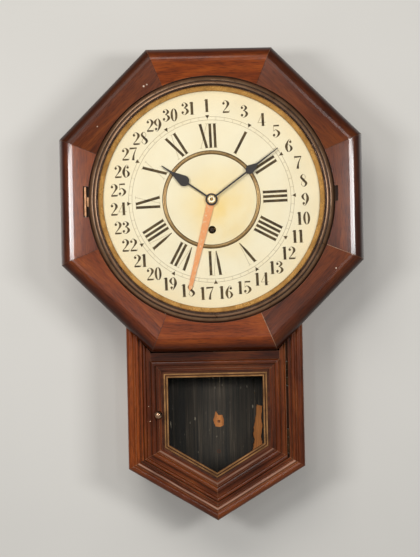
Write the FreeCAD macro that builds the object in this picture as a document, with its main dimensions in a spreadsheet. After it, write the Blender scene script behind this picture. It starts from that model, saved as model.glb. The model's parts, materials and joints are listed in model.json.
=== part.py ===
# Octagon drop clock: moulded octagon head, pointed drop with a glazed door, hinged bezel, calendar dial,
# spring movement and short pendulum.
# Millimetres. Wall plane at y = 0, front towards -Y, +Z up, origin in the hanger hole on the back face.
# Depths are counted from the wall towards the front, heights from the dial axis.
import FreeCAD, Part
import Sketcher
import math
import os
import re

SIZES = {
    # Head: eight mitred rails round the dial.
    "octagon_width": 410,       # across the flats
    "case_depth": 84,           # wall to the back of the rails
    "rail_flat": 22,            # rail thickness under the bezel
    "rail_crest": 30,           # rail thickness at the crest
    "rail_edge": 12,            # height of the plain outer edge
    "crest_outer": 15,          # crest band, measured in from the outer edge
    "crest_inner": 18.5,
    "rail_show": 39,            # rail left showing outside the bezel
    "rail_round": 17,           # radius of the bullnose
    "inner_run": 42,            # width over which the crest falls to the bezel's seat
    "seat_play": 1,             # seat wider than the bezel
    "head_opening": 92,         # radius of the hole through the head
    # Box behind the head and the drop.
    "hanger_drop": 75,          # hanger hole below the top of the head
    "back_thick": 10,
    "side_thick": 20,
    "top_thick": 15,
    "box_drop": 35,             # top of the box below the top of the head
    "box_inset": 5,             # box side in from the moulding's outer edge
    # Pointed drop.
    "drop_width": 240,
    "drop_height": 231,         # point of the drop below the head
    "drop_slope": 31,           # degrees of the two lower edges
    "moulding_width": 20.6,
    "moulding_edge": 7,
    "rib_width": 9.8,
    "rib_rise": 13.5,           # blank thickness before the section is cut
    "rib_round": 5.4,
    "quirk_width": 1.6,
    "quirk_rise": 10,
    "bead_width": 5,
    "bead_round": 2.7,
    "step_rise": 6.5,
    # Drop door.
    "door_gap": 0.8,
    "door_lift": 0.3,           # door back in front of the box edges
    "head_gap": 1.8,            # door top below the head
    "ear_gap": 2.3,             # tops of the stiles below the head's diagonals
    "ear_swing": 3,             # depth left behind the hinge axis where the hinge stile passes the head
    "hinge_gap": 3.6,
    "door_flat": 10.6,          # edge bead and hollow
    "door_flat_rise": 7.5,
    "door_bead_width": 4.8,
    "door_bead_round": 2.6,
    "door_hollow_rise": 6.8,
    "door_slope_width": 14.3,   # crest, hollow and inner fillet
    "door_crest_width": 7.2,
    "door_crest_foot": 9.5,
    "door_crest_round": 3.75,
    "door_crest_rise": 13,      # blank thickness before the section is cut
    "door_quirk_rise": 8,
    "door_fillet_out": 11,
    "door_inner_rise": 9.5,
    "gilt_width": 9.4,
    "gilt_rise": 3,
    "pane_thick": 2,
    "pane_depth": 1.7,          # pane back in front of the door back
    "pane_gap": 0.3,
    # Door furniture.
    "knob_inset": 42,           # knob axis in from the drop's outer edge
    "knob_drop": 85,            # knob axis below the head
    "knob_radius": 5.8,
    "knob_gap": 0.4,            # knob in front of the stile's crest
    "spindle_radius": 2.4,
    "tongue_reach": 20.5,
    "tongue_width": 5,
    "tongue_thick": 2,
    "tongue_gap": 2,            # tongue behind the door back
    "mortise_play": 1.2,
    "mortise_depth": 6,
    "leaf_thick": 1.2,
    "leaf_height": 32,
    "door_barrel": 1.5,
    "door_pin": 0.8,
    "door_pin_proud": 0.8,
    "upper_hinge_drop": 33,     # middle of the upper hinge below the head
    "lower_hinge_lift": 20.4,   # middle of the lower hinge above the door's corner
    "hinge_sink": 0.8,          # door hinge axis behind the front of the stile
    # Bezel.
    "bezel_lift": 0.3,          # bezel back in front of the rail flats
    "bore_in": 10.5,            # radii of the bezel and dial, measured in from the bezel's rim
    "lip_in": 12.2,
    "band_in": 5.8,
    "band_rise": 8,
    "band_edge": 2.6,
    "band_round": 7,
    "bead_in": 6.8,
    "bead_edge": 9.4,
    "bead_bend": 4.2,
    "bezel_rise": 12.8,
    "bezel_wall": 1.3,          # pressed brass round the hollow back
    "glass_rise": 10,           # back of the dial glass in front of the rail flats
    "glass_thick": 2,
    "sight_in": 19.6,
    "sight_foot": 0.8,
    "sight_wall": 1.2,
    "bezel_barrel": 2.2,
    "bezel_pin": 1.1,
    "bezel_hinge_out": 4.4,     # hinge axis outside the bezel
    "bezel_hinge_rise": 2.9,    # hinge axis in front of the rail flats
    "bezel_leaf_height": 39,
    "bezel_pin_proud": 1,
    "kerf_depth": 12,
    "kerf_play": 0.1,
    "notch_play": 0.4,          # notches in the seat's wall wider than hinge and catch
    "catch_out": 0.5,           # catch strip outside the bezel
    "catch_thick": 0.8,
    "catch_height": 20,
    "catch_shift": 5,           # middle of the catch above the dial axis
    "catch_rise": 1.2,
    "catch_room": 3.2,          # notch left open outside the catch
    # Dial.
    "dial_in": 13.6,
    "dial_thick": 1,
    "dial_sink": 2,             # dial back behind the rail flats
    "dial_play": 0.6,
    "dial_bore": 5.2,
    "key_hole": 5.3,
    "dial_screw_in": 2.4,       # dial screws in from the dial's edge
    "ring_share": 0.437,        # outside of the planted ring as a share of the dial
    "ring_width": 5.6,
    "ring_rise": 1,
    # Hands, depths counted from the dial front.
    "hand_thick": 0.8,
    "calendar_lift": 1.4,
    "hour_lift": 3.2,
    "minute_lift": 5.2,
    "minute_angle": 53.4,       # degrees clockwise from twelve
    "hour_angle": 305,
    "calendar_angle": 194.7,
    "minute_share": 0.742,      # length as a share of the dial
    "minute_drop_share": 0.43,  # middle of the teardrop as a share of the dial
    "minute_drop_radius": 6,
    "hour_share": 0.532,
    "hour_drop_share": 0.295,
    "hour_drop_radius": 7.3,
    "minute_neck": 12.5,        # neck beyond the middle of the teardrop
    "hour_neck": 20,
    "stem_width": 2.3,
    "neck_width": 2.8,
    "tip_width": 1.2,
    "calendar_share": 0.833,
    "calendar_root_width": 10.4,
    "calendar_end_width": 5,
    "minute_hub": 6.5,
    "hour_hub": 8.3,
    "calendar_hub": 8.3,
    "nut_radius": 5.8,
    "nut_thick": 2.6,
    # Movement, depths counted from the wall.
    "back_plate_depth": 30,
    "front_plate_depth": 68,
    "plate_thick": 2,
    "plate_width": 92,
    "plate_height": 152,
    "pillar_across": 76,
    "pillar_height": 132,
    "pillar_radius": 3,
    "tenon_radius": 2,
    "tenon_proud": 3,
    "foot_radius": 9,
    "foot_thick": 2,
    "foot_screw_out": 5.8,
    "key_drop": 41,             # winding arbor below the dial axis
    "great_reach": 34.2,        # winding arbor to second arbor
    "second_gap": 1.63,         # second arbor clear of the centre wheel
    "third_reach": 26,          # centre to third arbor
    "escape_reach": 24.2,       # third arbor to escape arbor
    "escape_rise": 38,
    "verge_rise": 60,
    "motion_reach": 18,         # centre to the motion work studs
    "wheel_thick": 1.8,
    "great_thick": 2.4,
    "pinion_thick": 3,
    "tooth_play": 0.15,         # thinning of each tooth
    "running_play": 0.05,       # radial play of shafts in their holes
    "end_play": 0.4,
    "arbor_radius": 1.5,
    "winding_radius": 3,
    "winding_square": 4.6,
    "winding_sink": 2,          # end of the square behind the dial back
    "centre_radius": 1.2,
    "cannon_radius": 2.25,
    "hour_pipe_radius": 3.2,
    "calendar_pipe_radius": 4.4,
    "escape_radius": 16,
    "ratchet_radius": 9.5,
    "click_out": 14.5,
    "click_stud": 1.2,
    "spring_hub": 5,
    "spring_play": 0.3,
    "spring_strip": 0.5,
    "spring_outer": 29.6,
    "spring_share": 0.5,        # width of the mainspring as a share of the room between the plates
    "spring_post_radius": 2.5,
    # Pendulum.
    "pendulum_depth": 20,
    "pendulum_length": 236,     # suspension bend to the middle of the bob
    "rod_radius": 1.5,
    "rod_end": 12,              # rod below the bob
    "bob_radius": 25,
    "bob_half": 7,
    "bob_edge": 1,
    "nut_drop": 5,
    "suspension_thick": 0.3,
    "suspension_width": 5,
    "post_rise": 6,             # foot of the suspension post above the bend
    "post_height": 8,
    "post_width": 10,
    "fork_drop": 38,            # crutch fork below the verge
    "fork_wire": 0.6,
    "fork_play": 0.3,
    # Hanger plate and screws.
    "hanger_width": 30,
    "hanger_above": 30,
    "hanger_below": 16,
    "hanger_thick": 3,
    "hanger_play": 0.2,
    "hanger_hole": 5,
    "hanger_slot": 5,
    "hanger_slot_top": 14,
    "hanger_screw_rise": 22,
    "hanger_screw_out": 10,
    "relief_width": 17,
    "relief_above": 18,
    "relief_below": 8,
    "wall_screw_hole": 2.2,
    "wall_screw_across": 4,
    "wall_screw_drop": 103.4,      # below the head
    "screw_head": 2.2,
    "screw_head_thick": 1.2,
    "screw_shank": 1.2,
    "screw_length": 7,
}

# Tooth counts of the going train, motion work and calendar work.
GREAT, SECOND_PINION = 64, 12
SECOND, CENTRE_PINION = 36, 12
CENTRE, THIRD_PINION = 72, 8
THIRD, ESCAPE_PINION = 80, 8
ESCAPE = 40
CANNON, MINUTE = 12, 36
MINUTE_PINION, HOUR = 12, 48
HOUR_PINION, DATE = 16, 32
CALENDAR = 31
RATCHET = 20
ADDENDUM = 0.72             # tooth height outside the pitch circle, in modules

RAIL_NAMES = ["top", "upper_right", "right", "lower_right", "bottom", "lower_left", "left", "upper_left"]
V = FreeCAD.Vector
UP_Y = V(0, 1, 0)

doc = FreeCAD.newDocument("octagon_drop_clock")
sheet = doc.addObject("Spreadsheet::Sheet", "Sizes")
for row, (alias, number) in enumerate(SIZES.items(), 1):
    sheet.set("A%d" % row, alias)
    sheet.set("B%d" % row, str(number))
    sheet.setAlias("B%d" % row, alias)
doc.recompute()

nodes = {}

# Lengths that follow from the sizes.
APOTHEM = "(octagon_width/2)"
HANGER_Z = "(octagon_width/2 - hanger_drop)"
BOX_TOP = "(octagon_width/2 - box_drop)"
DROP_POINT = "(octagon_width/2 + drop_height)"
RIM = "(octagon_width/2 - rail_show)"
DIAL = "(octagon_width/2 - rail_show - dial_in)"


def bound(text):
    """Expression text with each size name pointing at its cell."""
    def cell(match):
        word = match.group()
        return "Sizes." + word if word in SIZES else word
    return re.sub(r"[a-z][a-z_]*", cell, str(text))


def value(text):
    """Present number of an expression in size names."""
    return float(sheet.evalExpression(bound(text)))


def bind(thing, prop, text):
    thing.setExpression(prop, bound(text))


def seat(thing, x="0", z="0", turn=0):
    """Place a piece drawn about its own axis; z counts from the dial axis, turn is about Y."""
    angle = value(turn)
    thing.Placement = FreeCAD.Placement(V(0, 0, 0), FreeCAD.Rotation(UP_Y, angle if angle else 0))
    bind(thing, "Placement.Base.x", x)
    bind(thing, "Placement.Base.z", "%s - %s" % (z, HANGER_Z))
    if isinstance(turn, str):
        bind(thing, "Placement.Rotation.Angle", turn)
    return thing


def body(label):
    return doc.addObject("PartDesign::Body", label)


def keep(label, thing):
    thing.Label = label
    nodes[label] = thing
    return thing


def sketch(owner, role, offset=None):
    """Empty sketch on one of the body's origin planes, moved along its normal."""
    drawn = owner.newObject("Sketcher::SketchObject", owner.Name + "_sketch")
    plane = next(item for item in owner.Origin.OriginFeatures if item.Role == role)
    drawn.AttachmentSupport = [(plane, "")]
    drawn.MapMode = "FlatFace"
    if offset is not None:
        bind(drawn, "AttachmentOffset.Base.z", offset)
    return drawn


def pin_down(drawn, kind, text, *where):
    """Dimension bound to an expression."""
    index = drawn.addConstraint(Sketcher.Constraint(kind, *where, value(text)))
    bind(drawn, "Constraints[%d]" % index, text)


def bulge(start, end, radius):
    """Middle of the arc from start to end; a positive radius bulges to the left of the way."""
    chord = end - start
    half = chord.Length / 2
    rise = abs(radius) - math.sqrt(max(radius * radius - half * half, 0))
    left = V(-chord.y, chord.x, 0).normalize()
    return (start + end) * 0.5 + left * math.copysign(rise, radius)


def outline(drawn, corners):
    """Closed outline; a corner is (x, y) or (x, y, radius of the arc that leaves it)."""
    spots = [V(value(c[0]), value(c[1]), 0) for c in corners]
    first = drawn.GeometryCount
    count = len(corners)
    starts = []
    for i, corner in enumerate(corners):
        start, end = spots[i], spots[(i + 1) % count]
        if len(corner) == 2:
            drawn.addGeometry(Part.LineSegment(start, end), False)
            starts.append(1)
            continue
        middle = bulge(start, end, value(corner[2]))
        clockwise = value(corner[2]) > 0
        ends = (end, middle, start) if clockwise else (start, middle, end)
        drawn.addGeometry(Part.Arc(*ends), False)
        starts.append(2 if clockwise else 1)
    for i in range(count):
        after = (i + 1) % count
        drawn.addConstraint(Sketcher.Constraint("Coincident", first + i, 3 - starts[i],
                                                first + after, starts[after]))
    for i, corner in enumerate(corners):
        pin_down(drawn, "DistanceX", corner[0], -1, 1, first + i, starts[i])
        pin_down(drawn, "DistanceY", corner[1], -1, 1, first + i, starts[i])
        if len(corner) == 3:
            pin_down(drawn, "Radius", "abs(%s)" % corner[2], first + i)


def circle(drawn, radius, x="0", y="0"):
    index = drawn.addGeometry(Part.Circle(V(value(x), value(y), 0), V(0, 0, 1), value(radius)), False)
    pin_down(drawn, "DistanceX", x, -1, 1, index, 3)
    pin_down(drawn, "DistanceY", y, -1, 1, index, 3)
    pin_down(drawn, "Radius", radius, index)


def pad(owner, drawn, length):
    made = owner.newObject("PartDesign::Pad", owner.Name + "_pad")
    made.Profile = drawn
    bind(made, "Length", length)
    return made


def pocket(owner, drawn, length=None, towards_wall=True):
    """Cut; through everything both ways when no length is given."""
    made = owner.newObject("PartDesign::Pocket", owner.Name + "_pocket")
    made.Profile = drawn
    if length is None:
        made.Type = "ThroughAll"
        made.SideType = "Symmetric"
    else:
        bind(made, "Length", length)
        made.Reversed = not towards_wall
    return made


def plate(label, corners, start, thick, holes=()):
    """Flat piece parallel to the wall; holes are (radius, x, z)."""
    owner = body(label)
    drawn = sketch(owner, "XZ_Plane", start)
    if isinstance(corners, str):
        circle(drawn, corners)
    else:
        outline(drawn, corners)
    for hole in holes:
        circle(drawn, *hole)
    pad(owner, drawn, thick)
    return owner


def turned(label, corners):
    """Ring or disc turned about the Y axis; corners are (radius, depth)."""
    owner = body(label)
    drawn = sketch(owner, "XY_Plane")
    outline(drawn, [(c[0], "-(%s)" % c[1], *c[2:]) for c in corners])
    made = owner.newObject("PartDesign::Revolution", owner.Name + "_turn")
    made.Profile = drawn
    made.ReferenceAxis = (drawn, ["V_Axis"])
    made.Angle = 360
    return owner


def rod(label, radius, start, end, x="0", z="0", upright=False):
    """Cylinder along the depth, or upright at a depth when start and end are heights."""
    made = doc.addObject("Part::Cylinder", label)
    bind(made, "Radius", radius)
    bind(made, "Height", "(%s) - (%s)" % (end, start))
    if not upright:
        made.Placement = FreeCAD.Placement(V(0, 0, 0), FreeCAD.Rotation(V(1, 0, 0), 90))
    bind(made, "Placement.Base.x", x)
    bind(made, "Placement.Base.y", "-(%s)" % (z if upright else start))
    bind(made, "Placement.Base.z", "%s - %s" % (start if upright else z, HANGER_Z))
    return made


def block(label, x_low, x_high, near, far, z_low, z_high):
    """Box between two depths, two sides and two heights."""
    made = doc.addObject("Part::Box", label)
    bind(made, "Length", "(%s) - (%s)" % (x_high, x_low))
    bind(made, "Width", "(%s) - (%s)" % (far, near))
    bind(made, "Height", "(%s) - (%s)" % (z_high, z_low))
    bind(made, "Placement.Base.x", x_low)
    bind(made, "Placement.Base.y", "-(%s)" % far)
    bind(made, "Placement.Base.z", "%s - %s" % (z_low, HANGER_Z))
    return made


def fuse(label, pieces):
    made = doc.addObject("Part::MultiFuse", label)
    made.Shapes = pieces
    return made


def cut(label, base, tools):
    made = doc.addObject("Part::Cut", label)
    made.Base = base
    made.Tool = tools[0] if len(tools) == 1 else fuse(label + "_tools", tools)
    return made


def group(label, pieces):
    """One node of several separate solids."""
    made = doc.addObject("Part::Compound", label)
    made.Links = pieces
    return keep(label, made)


def solid(label, shape, x="0", z="0"):
    """Computed shape about its own axis, then placed."""
    made = doc.addObject("Part::Feature", label)
    made.Shape = shape
    return seat(made, x, z)


def moulded(label, corners, base, rise, section, turn, x="0", z="0", along_sign=1):
    """Mitred member: its front outline is padded, then everything above its section is cut away.

    corners are (along, inset), section points are (inset, height); inset runs along local Z.
    """
    owner = body(label)
    drawn = sketch(owner, "XZ_Plane", base)
    front = [("%d*(%s)" % (along_sign, c[0]), *c[1:]) for c in corners]
    outline(drawn, front)
    pad(owner, drawn, rise)
    waste = sketch(owner, "YZ_Plane")
    outline(waste, [("-(%s + %s)" % (base, p[1]), p[0], *p[2:]) for p in section])
    pocket(owner, waste)
    return seat(owner, x, z, turn)


# Head rails.
RAIL_FRONT = "(case_depth + rail_flat)"
DIAL_BACK = "(case_depth + rail_flat - dial_sink)"
DIAL_FRONT = "(case_depth + rail_flat - dial_sink + dial_thick)"


def rail_section():
    """Waste above the rail: bullnose, crest, then the slope down to the bezel's seat."""
    def spot(inset, height, *arc):
        return ("%s - (%s)" % (APOTHEM, inset), height, *arc)
    return [
        spot("-2", "rail_edge"),
        spot("0", "rail_edge", "-rail_round"),
        spot("crest_outer", "rail_crest"),
        spot("crest_inner", "rail_crest"),
        spot("crest_inner + inner_run", "rail_flat"),
        spot(APOTHEM + " + 2", "rail_flat"),
        spot(APOTHEM + " + 2", "rail_crest + 2"),
        spot("-2", "rail_crest + 2"),
    ]


def head_rail(number, name):
    label = "octagon_" + name
    reach = "tan(22.5)*%s" % APOTHEM
    throat = ("head_opening*sin(22.5)", "head_opening*cos(22.5)")
    corners = [
        ("-" + reach, APOTHEM),
        (reach, APOTHEM),
        (throat[0], throat[1], "-head_opening"),
        ("-" + throat[0], throat[1]),
    ]
    owner = moulded(label, corners, "case_depth", "rail_crest", rail_section(), 45 * number)
    rabbet = sketch(owner, "XZ_Plane", DIAL_BACK)
    circle(rabbet, DIAL + " + dial_play")
    pocket(owner, rabbet, "rail_crest", towards_wall=False)
    bezel_seat = sketch(owner, "XZ_Plane", RAIL_FRONT)
    circle(bezel_seat, RIM + " + seat_play")
    pocket(owner, bezel_seat, "rail_crest", towards_wall=False)
    if number % 2:
        bore = sketch(owner, "XZ_Plane", DIAL_FRONT)
        circle(bore, "screw_shank", "0", DIAL + " - dial_screw_in")
        pocket(owner, bore, "screw_length")
    if name == "left":
        axis = RIM + " + bezel_hinge_out"
        opening(owner, axis + " + bezel_barrel", "bezel_leaf_height + 2*bezel_pin_proud", "0")
        kerf(owner, axis + " - leaf_thick/2", "leaf_thick", "bezel_leaf_height", "0")
    if name == "right":
        low = RIM + " + catch_out"
        opening(owner, low + " + catch_thick + catch_room", "catch_height", "-catch_shift")
        kerf(owner, low, "catch_thick", "catch_height", "-catch_shift")
    return keep(label, owner)


def upright(owner, low, high, height, middle, play):
    """Upright rectangle on the seat, drawn a play larger than what lies in it."""
    drawn = sketch(owner, "XZ_Plane", RAIL_FRONT)
    left = "%s - (%s)/2 - %s" % (middle, height, play)
    right = "%s + (%s)/2 + %s" % (middle, height, play)
    outline(drawn, [(left, low), (right, low), (right, high), (left, high)])
    return drawn


def opening(owner, reach, height, middle):
    """Notch in the seat's wall, from the bezel out to a reach."""
    drawn = upright(owner, RIM, reach + " + notch_play", height, middle, "notch_play")
    pocket(owner, drawn, "rail_crest", towards_wall=False)


def kerf(owner, low, thick, height, middle):
    """Saw cut sunk from the seat for a thin upright strip."""
    high = "%s + %s + kerf_play" % (low, thick)
    drawn = upright(owner, low + " - kerf_play", high, height, middle, "kerf_play")
    pocket(owner, drawn, "kerf_depth")


for position, side_name in enumerate(RAIL_NAMES):
    head_rail(position, side_name)


# Pointed outline of the drop: every edge is an inset of one five-sided shape.
HALF = "(drop_width/2)"


def point_z(inset):
    """Height of the lower point at an inset."""
    return "(-%s + (%s)/cos(drop_slope))" % (DROP_POINT, inset)


def corner_z(inset):
    """Height of the lower side corners at an inset."""
    return "(%s + (%s - (%s))*tan(drop_slope))" % (point_z(inset), HALF, inset)


def edge_at(inset, across):
    """Distance along a lower edge from the point to a given distance from the middle."""
    return "((%s)*tan(drop_slope) + (%s)/cos(drop_slope))" % (inset, across)


def inside(inset):
    return "(%s - (%s))" % (HALF, inset)


def pair(label, maker):
    """Left and right member of a mitred pair."""
    return [maker(label + "_left", -1), maker(label + "_right", 1)]


U_BOX = "box_inset"
U_ROOM = "(box_inset + side_thick)"
U_FRAME = "moulding_width"
U_DOOR = "(moulding_width + door_gap)"
U_HINGE = "(moulding_width + hinge_gap)"
U_SLOPE = "(moulding_width + door_gap + door_flat)"
U_SASH = "(moulding_width + door_gap + door_flat + door_slope_width)"
U_SIGHT = "(moulding_width + door_gap + door_flat + door_slope_width + gilt_width)"
DOOR_TOP = "(-%s - head_gap)" % APOTHEM
DOOR_BACK = "(case_depth + door_lift)"
SASH_TOP = "(%s - door_flat - door_slope_width)" % DOOR_TOP
HINGE_X = "(%s - hinge_gap/2)" % inside(U_FRAME)
HINGE_DEPTH = "(%s + door_flat_rise - hinge_sink)" % DOOR_BACK
SIGHT_TOP = "(%s - gilt_width)" % SASH_TOP

# Box boards.
KNOB_X = "(-%s)" % inside("knob_inset")
KNOB_Z = "(-%s - knob_drop)" % APOTHEM
TONGUE_FRONT = "(%s - tongue_gap)" % DOOR_BACK
TONGUE_BACK = "(%s - tongue_thick)" % TONGUE_FRONT


def case_side(name, side):
    outer, inner = "%d*%s" % (side, inside(U_BOX)), "%d*%s" % (side, inside(U_ROOM))
    top = BOX_TOP + " - top_thick"
    corners = [(outer, top), (outer, corner_z(U_BOX)), (inner, corner_z(U_ROOM)), (inner, top)]
    owner = plate(name, corners, "back_thick", "case_depth - back_thick")
    if side < 0:
        drawn = sketch(owner, "XZ_Plane", TONGUE_FRONT + " + mortise_play")
        deep = "-%s - mortise_depth" % inside(U_ROOM)
        shallow = "-%s + 1" % inside(U_ROOM)
        high = KNOB_Z + " + tongue_width/2 + mortise_play"
        low = KNOB_Z + " - tongue_reach"
        outline(drawn, [(deep, low), (shallow, low), (shallow, high), (deep, high)])
        pocket(owner, drawn, "tongue_thick + 2*mortise_play")
    return keep(name, seat(owner))


case_side("case_side_left", -1)
case_side("case_side_right", 1)

top_low, top_side = BOX_TOP + " - top_thick", inside(U_BOX)
keep("case_top", seat(plate(
    "case_top",
    [("-" + top_side, top_low), (top_side, top_low), (top_side, BOX_TOP), ("-" + top_side, BOX_TOP)],
    "back_thick", "case_depth - back_thick")))


def bottom_board(name, side):
    corners = [
        ("0", point_z(U_BOX)),
        ("%d*%s" % (side, inside(U_BOX)), corner_z(U_BOX)),
        ("%d*%s" % (side, inside(U_ROOM)), corner_z(U_ROOM)),
        ("0", point_z(U_ROOM)),
    ]
    return seat(plate(name, corners, "back_thick", "case_depth - back_thick"))


group("case_bottom_boards", pair("bottom_board", bottom_board))

PILLARS = [("%d*pillar_across/2" % i, "%d*pillar_height/2" % j) for i in (-1, 1) for j in (-1, 1)]


def foot_screw(pillar):
    """Screw of a pillar foot, towards the middle of the movement."""
    sign = "-" if pillar[0].startswith("1") else "+"
    return ("%s %s foot_screw_out" % (pillar[0], sign), pillar[1])


HANGER_SCREWS = [("%d*hanger_screw_out" % i, HANGER_Z + " + hanger_screw_rise") for i in (-1, 1)]
HANGER_BED = "(hanger_thick + hanger_play)"


def back_board():
    side = inside(U_BOX)
    corners = [
        ("-" + side, BOX_TOP), ("-" + side, corner_z(U_BOX)), ("0", point_z(U_BOX)),
        (side, corner_z(U_BOX)), (side, BOX_TOP),
    ]
    owner = plate("back_board", corners, "0", "back_thick",
                  [("wall_screw_hole", "wall_screw_across", "-%s - wall_screw_drop" % APOTHEM)])
    bed = sketch(owner, "XZ_Plane", HANGER_BED)
    reach = "hanger_width/2 + hanger_play"
    low, high = HANGER_Z + " - hanger_below - hanger_play", HANGER_Z + " + hanger_above + hanger_play"
    outline(bed, [("-(%s)" % reach, low), (reach, low), (reach, high), ("-(%s)" % reach, high)])
    pocket(owner, bed, "hanger_thick + hanger_play + 1")
    room = sketch(owner, "XZ_Plane")
    reach = "relief_width/2"
    low, high = HANGER_Z + " - relief_below", HANGER_Z + " + relief_above"
    outline(room, [("-" + reach, low), (reach, low), (reach, high), ("-" + reach, high)])
    pocket(owner, room)
    pilots = sketch(owner, "XZ_Plane", "back_thick")
    for pillar in PILLARS:
        circle(pilots, "screw_shank", *foot_screw(pillar))
    pocket(owner, pilots, "screw_length - foot_thick")
    shanks = sketch(owner, "XZ_Plane", "screw_head_thick + screw_length")
    for spot in HANGER_SCREWS:
        circle(shanks, "screw_shank", *spot)
    pocket(owner, shanks, "screw_length")
    return keep("back_board", seat(owner))


back_board()

# Hanger: flush steel plate with a keyhole and two counterbored screw holes.


def hanger_plate():
    reach = "hanger_width/2"
    low, high = HANGER_Z + " - hanger_below", HANGER_Z + " + hanger_above"
    owner = plate("hanger_plate", [("-" + reach, low), (reach, low), (reach, high), ("-" + reach, high)],
                  "0", "hanger_thick",
                  [("hanger_hole", "0", HANGER_Z)] + [("screw_shank", *spot) for spot in HANGER_SCREWS])
    keyway = sketch(owner, "XZ_Plane")
    half = "hanger_slot/2"
    low, high = HANGER_Z, HANGER_Z + " + hanger_slot_top"
    outline(keyway, [("-" + half, low), (half, low), (half, high, "-0.6*hanger_slot"), ("-" + half, high)])
    pocket(owner, keyway)
    sinks = sketch(owner, "XZ_Plane", "screw_head_thick")
    for spot in HANGER_SCREWS:
        circle(sinks, "screw_head + running_play", *spot)
    pocket(owner, sinks, "screw_head_thick + 1")
    return keep("hanger_plate", seat(owner))


hanger_plate()

# Mouldings planted round the drop: a wide rib, a quirk, a narrow bead and a low step beside the door.
moulding_section = [
    ("-2", "moulding_edge"),
    ("0", "moulding_edge", "rib_round"),
    ("rib_width", "quirk_rise"),
    ("rib_width + quirk_width", "quirk_rise", "bead_round"),
    ("rib_width + quirk_width + bead_width", "quirk_rise"),
    ("rib_width + quirk_width + bead_width", "step_rise"),
    (U_FRAME + " + 2", "step_rise"),
    (U_FRAME + " + 2", "rib_rise + 2"),
    ("-2", "rib_rise + 2"),
]


def shoulder(inset):
    """Height at which the side moulding meets the head's lower diagonal."""
    return "(%s - %s*sqrt(2))" % (inside(inset), APOTHEM)


def side_moulding(name, side):
    corners = [(shoulder("0"), "0"), (corner_z("0"), "0"), (corner_z(U_FRAME), U_FRAME),
               (shoulder(U_FRAME), U_FRAME)]
    return moulded(name, corners, "case_depth", "rib_rise", moulding_section, -90 * side,
                   "%d*%s" % (side, HALF), "0", side)


def lower_moulding(name, side):
    corners = [(edge_at("0", "0"), "0"), (edge_at("0", HALF), "0"),
               (edge_at(U_FRAME, inside(U_FRAME)), U_FRAME), (edge_at(U_FRAME, "0"), U_FRAME)]
    return moulded(name, corners, "case_depth", "rib_rise", moulding_section, "%d*drop_slope" % -side,
                   "0", "(-%s)" % DROP_POINT, side)


group("drop_mouldings", pair("side_moulding", side_moulding) + pair("lower_moulding", lower_moulding))

# Door: sash with a bead at its edge, a hollow, a round crest and a fillet by the pane. The stiles run up
# beside the head's lower diagonals; only the crest is mitred into the top rail, whose edge is plain.
beaded_edge = [
    (U_FRAME + " - 2", "door_flat_rise"),
    (U_DOOR, "door_flat_rise", "door_bead_round"),
    (U_DOOR + " + door_bead_width", "door_flat_rise"),
    (U_DOOR + " + door_bead_width + 0.6", "door_hollow_rise"),
]
plain_edge = [(U_FRAME + " - 2", "door_hollow_rise")]
inner_section = [
    (U_SLOPE, "door_hollow_rise"),
    (U_SLOPE, "door_crest_foot", "door_crest_round"),
    (U_SLOPE + " + door_crest_width", "door_crest_foot"),
    (U_SLOPE + " + door_crest_width", "door_quirk_rise"),
    (U_SLOPE + " + door_fillet_out", "door_quirk_rise"),
    (U_SLOPE + " + door_fillet_out", "door_inner_rise"),
    (U_SASH + " + 2", "door_inner_rise"),
    (U_SASH + " + 2", "door_crest_rise + 2"),
    (U_FRAME + " - 2", "door_crest_rise + 2"),
]
door_section = beaded_edge + inner_section


def door_edge(side):
    return U_HINGE if side > 0 else U_DOOR


def door_stile(label, side):
    edge = door_edge(side)
    corners = [(shoulder(edge) + " - ear_gap", edge), (corner_z(edge), edge), (corner_z(U_SASH), U_SASH),
               (SASH_TOP, U_SASH), (DOOR_TOP + " - door_flat", U_SLOPE),
               (shoulder(U_SLOPE) + " - ear_gap", U_SLOPE)]
    owner = moulded(label, corners, DOOR_BACK, "door_crest_rise", door_section, -90 * side,
                    "%d*%s" % (side, HALF), "0", side)
    if side < 0:
        drawn = sketch(owner, "XZ_Plane")
        circle(drawn, "spindle_radius + running_play", "-%s" % KNOB_Z, "knob_inset")
        pocket(owner, drawn)
    else:
        back = sketch(owner, "XZ_Plane", HINGE_DEPTH + " - ear_swing")
        low, high = "-%s - head_gap/2" % APOTHEM, shoulder(U_FRAME)
        outline(back, [(low, U_FRAME), (high, U_FRAME), (high, U_SASH), (low, U_SASH)])
        pocket(owner, back, "door_crest_rise")
    return owner


def door_lower_rail(name, side):
    edge = door_edge(side)
    corners = [(edge_at(U_DOOR, "0"), U_DOOR), (edge_at(U_DOOR, inside(edge)), U_DOOR)]
    if side > 0:
        corners.append((edge_at(edge, inside(edge)), edge))
    corners += [(edge_at(U_SASH, inside(U_SASH)), U_SASH), (edge_at(U_SASH, "0"), U_SASH)]
    return moulded(name, corners, DOOR_BACK, "door_crest_rise", door_section, "%d*drop_slope" % -side,
                   "0", "(-%s)" % DROP_POINT, side)


def door_top_rail(label):
    """Drawn upside down about the line where the insets of the stiles start."""
    right = [(inside(U_SLOPE), U_DOOR), (inside(U_SLOPE), U_SLOPE), (inside(U_SASH), U_SASH)]
    corners = right + [("-" + across, inset) for across, inset in reversed(right)]
    return moulded(label, corners, DOOR_BACK, "door_crest_rise", plain_edge + inner_section, 180, "0",
                   "(%s + %s)" % (DOOR_TOP, U_DOOR))


keep("door_stile_left", door_stile("door_stile_left", -1))
keep("door_stile_right", door_stile("door_stile_right", 1))
keep("door_top_rail", door_top_rail("door_top_rail"))
group("door_lower_rails", pair("door_lower_rail", door_lower_rail))

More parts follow.
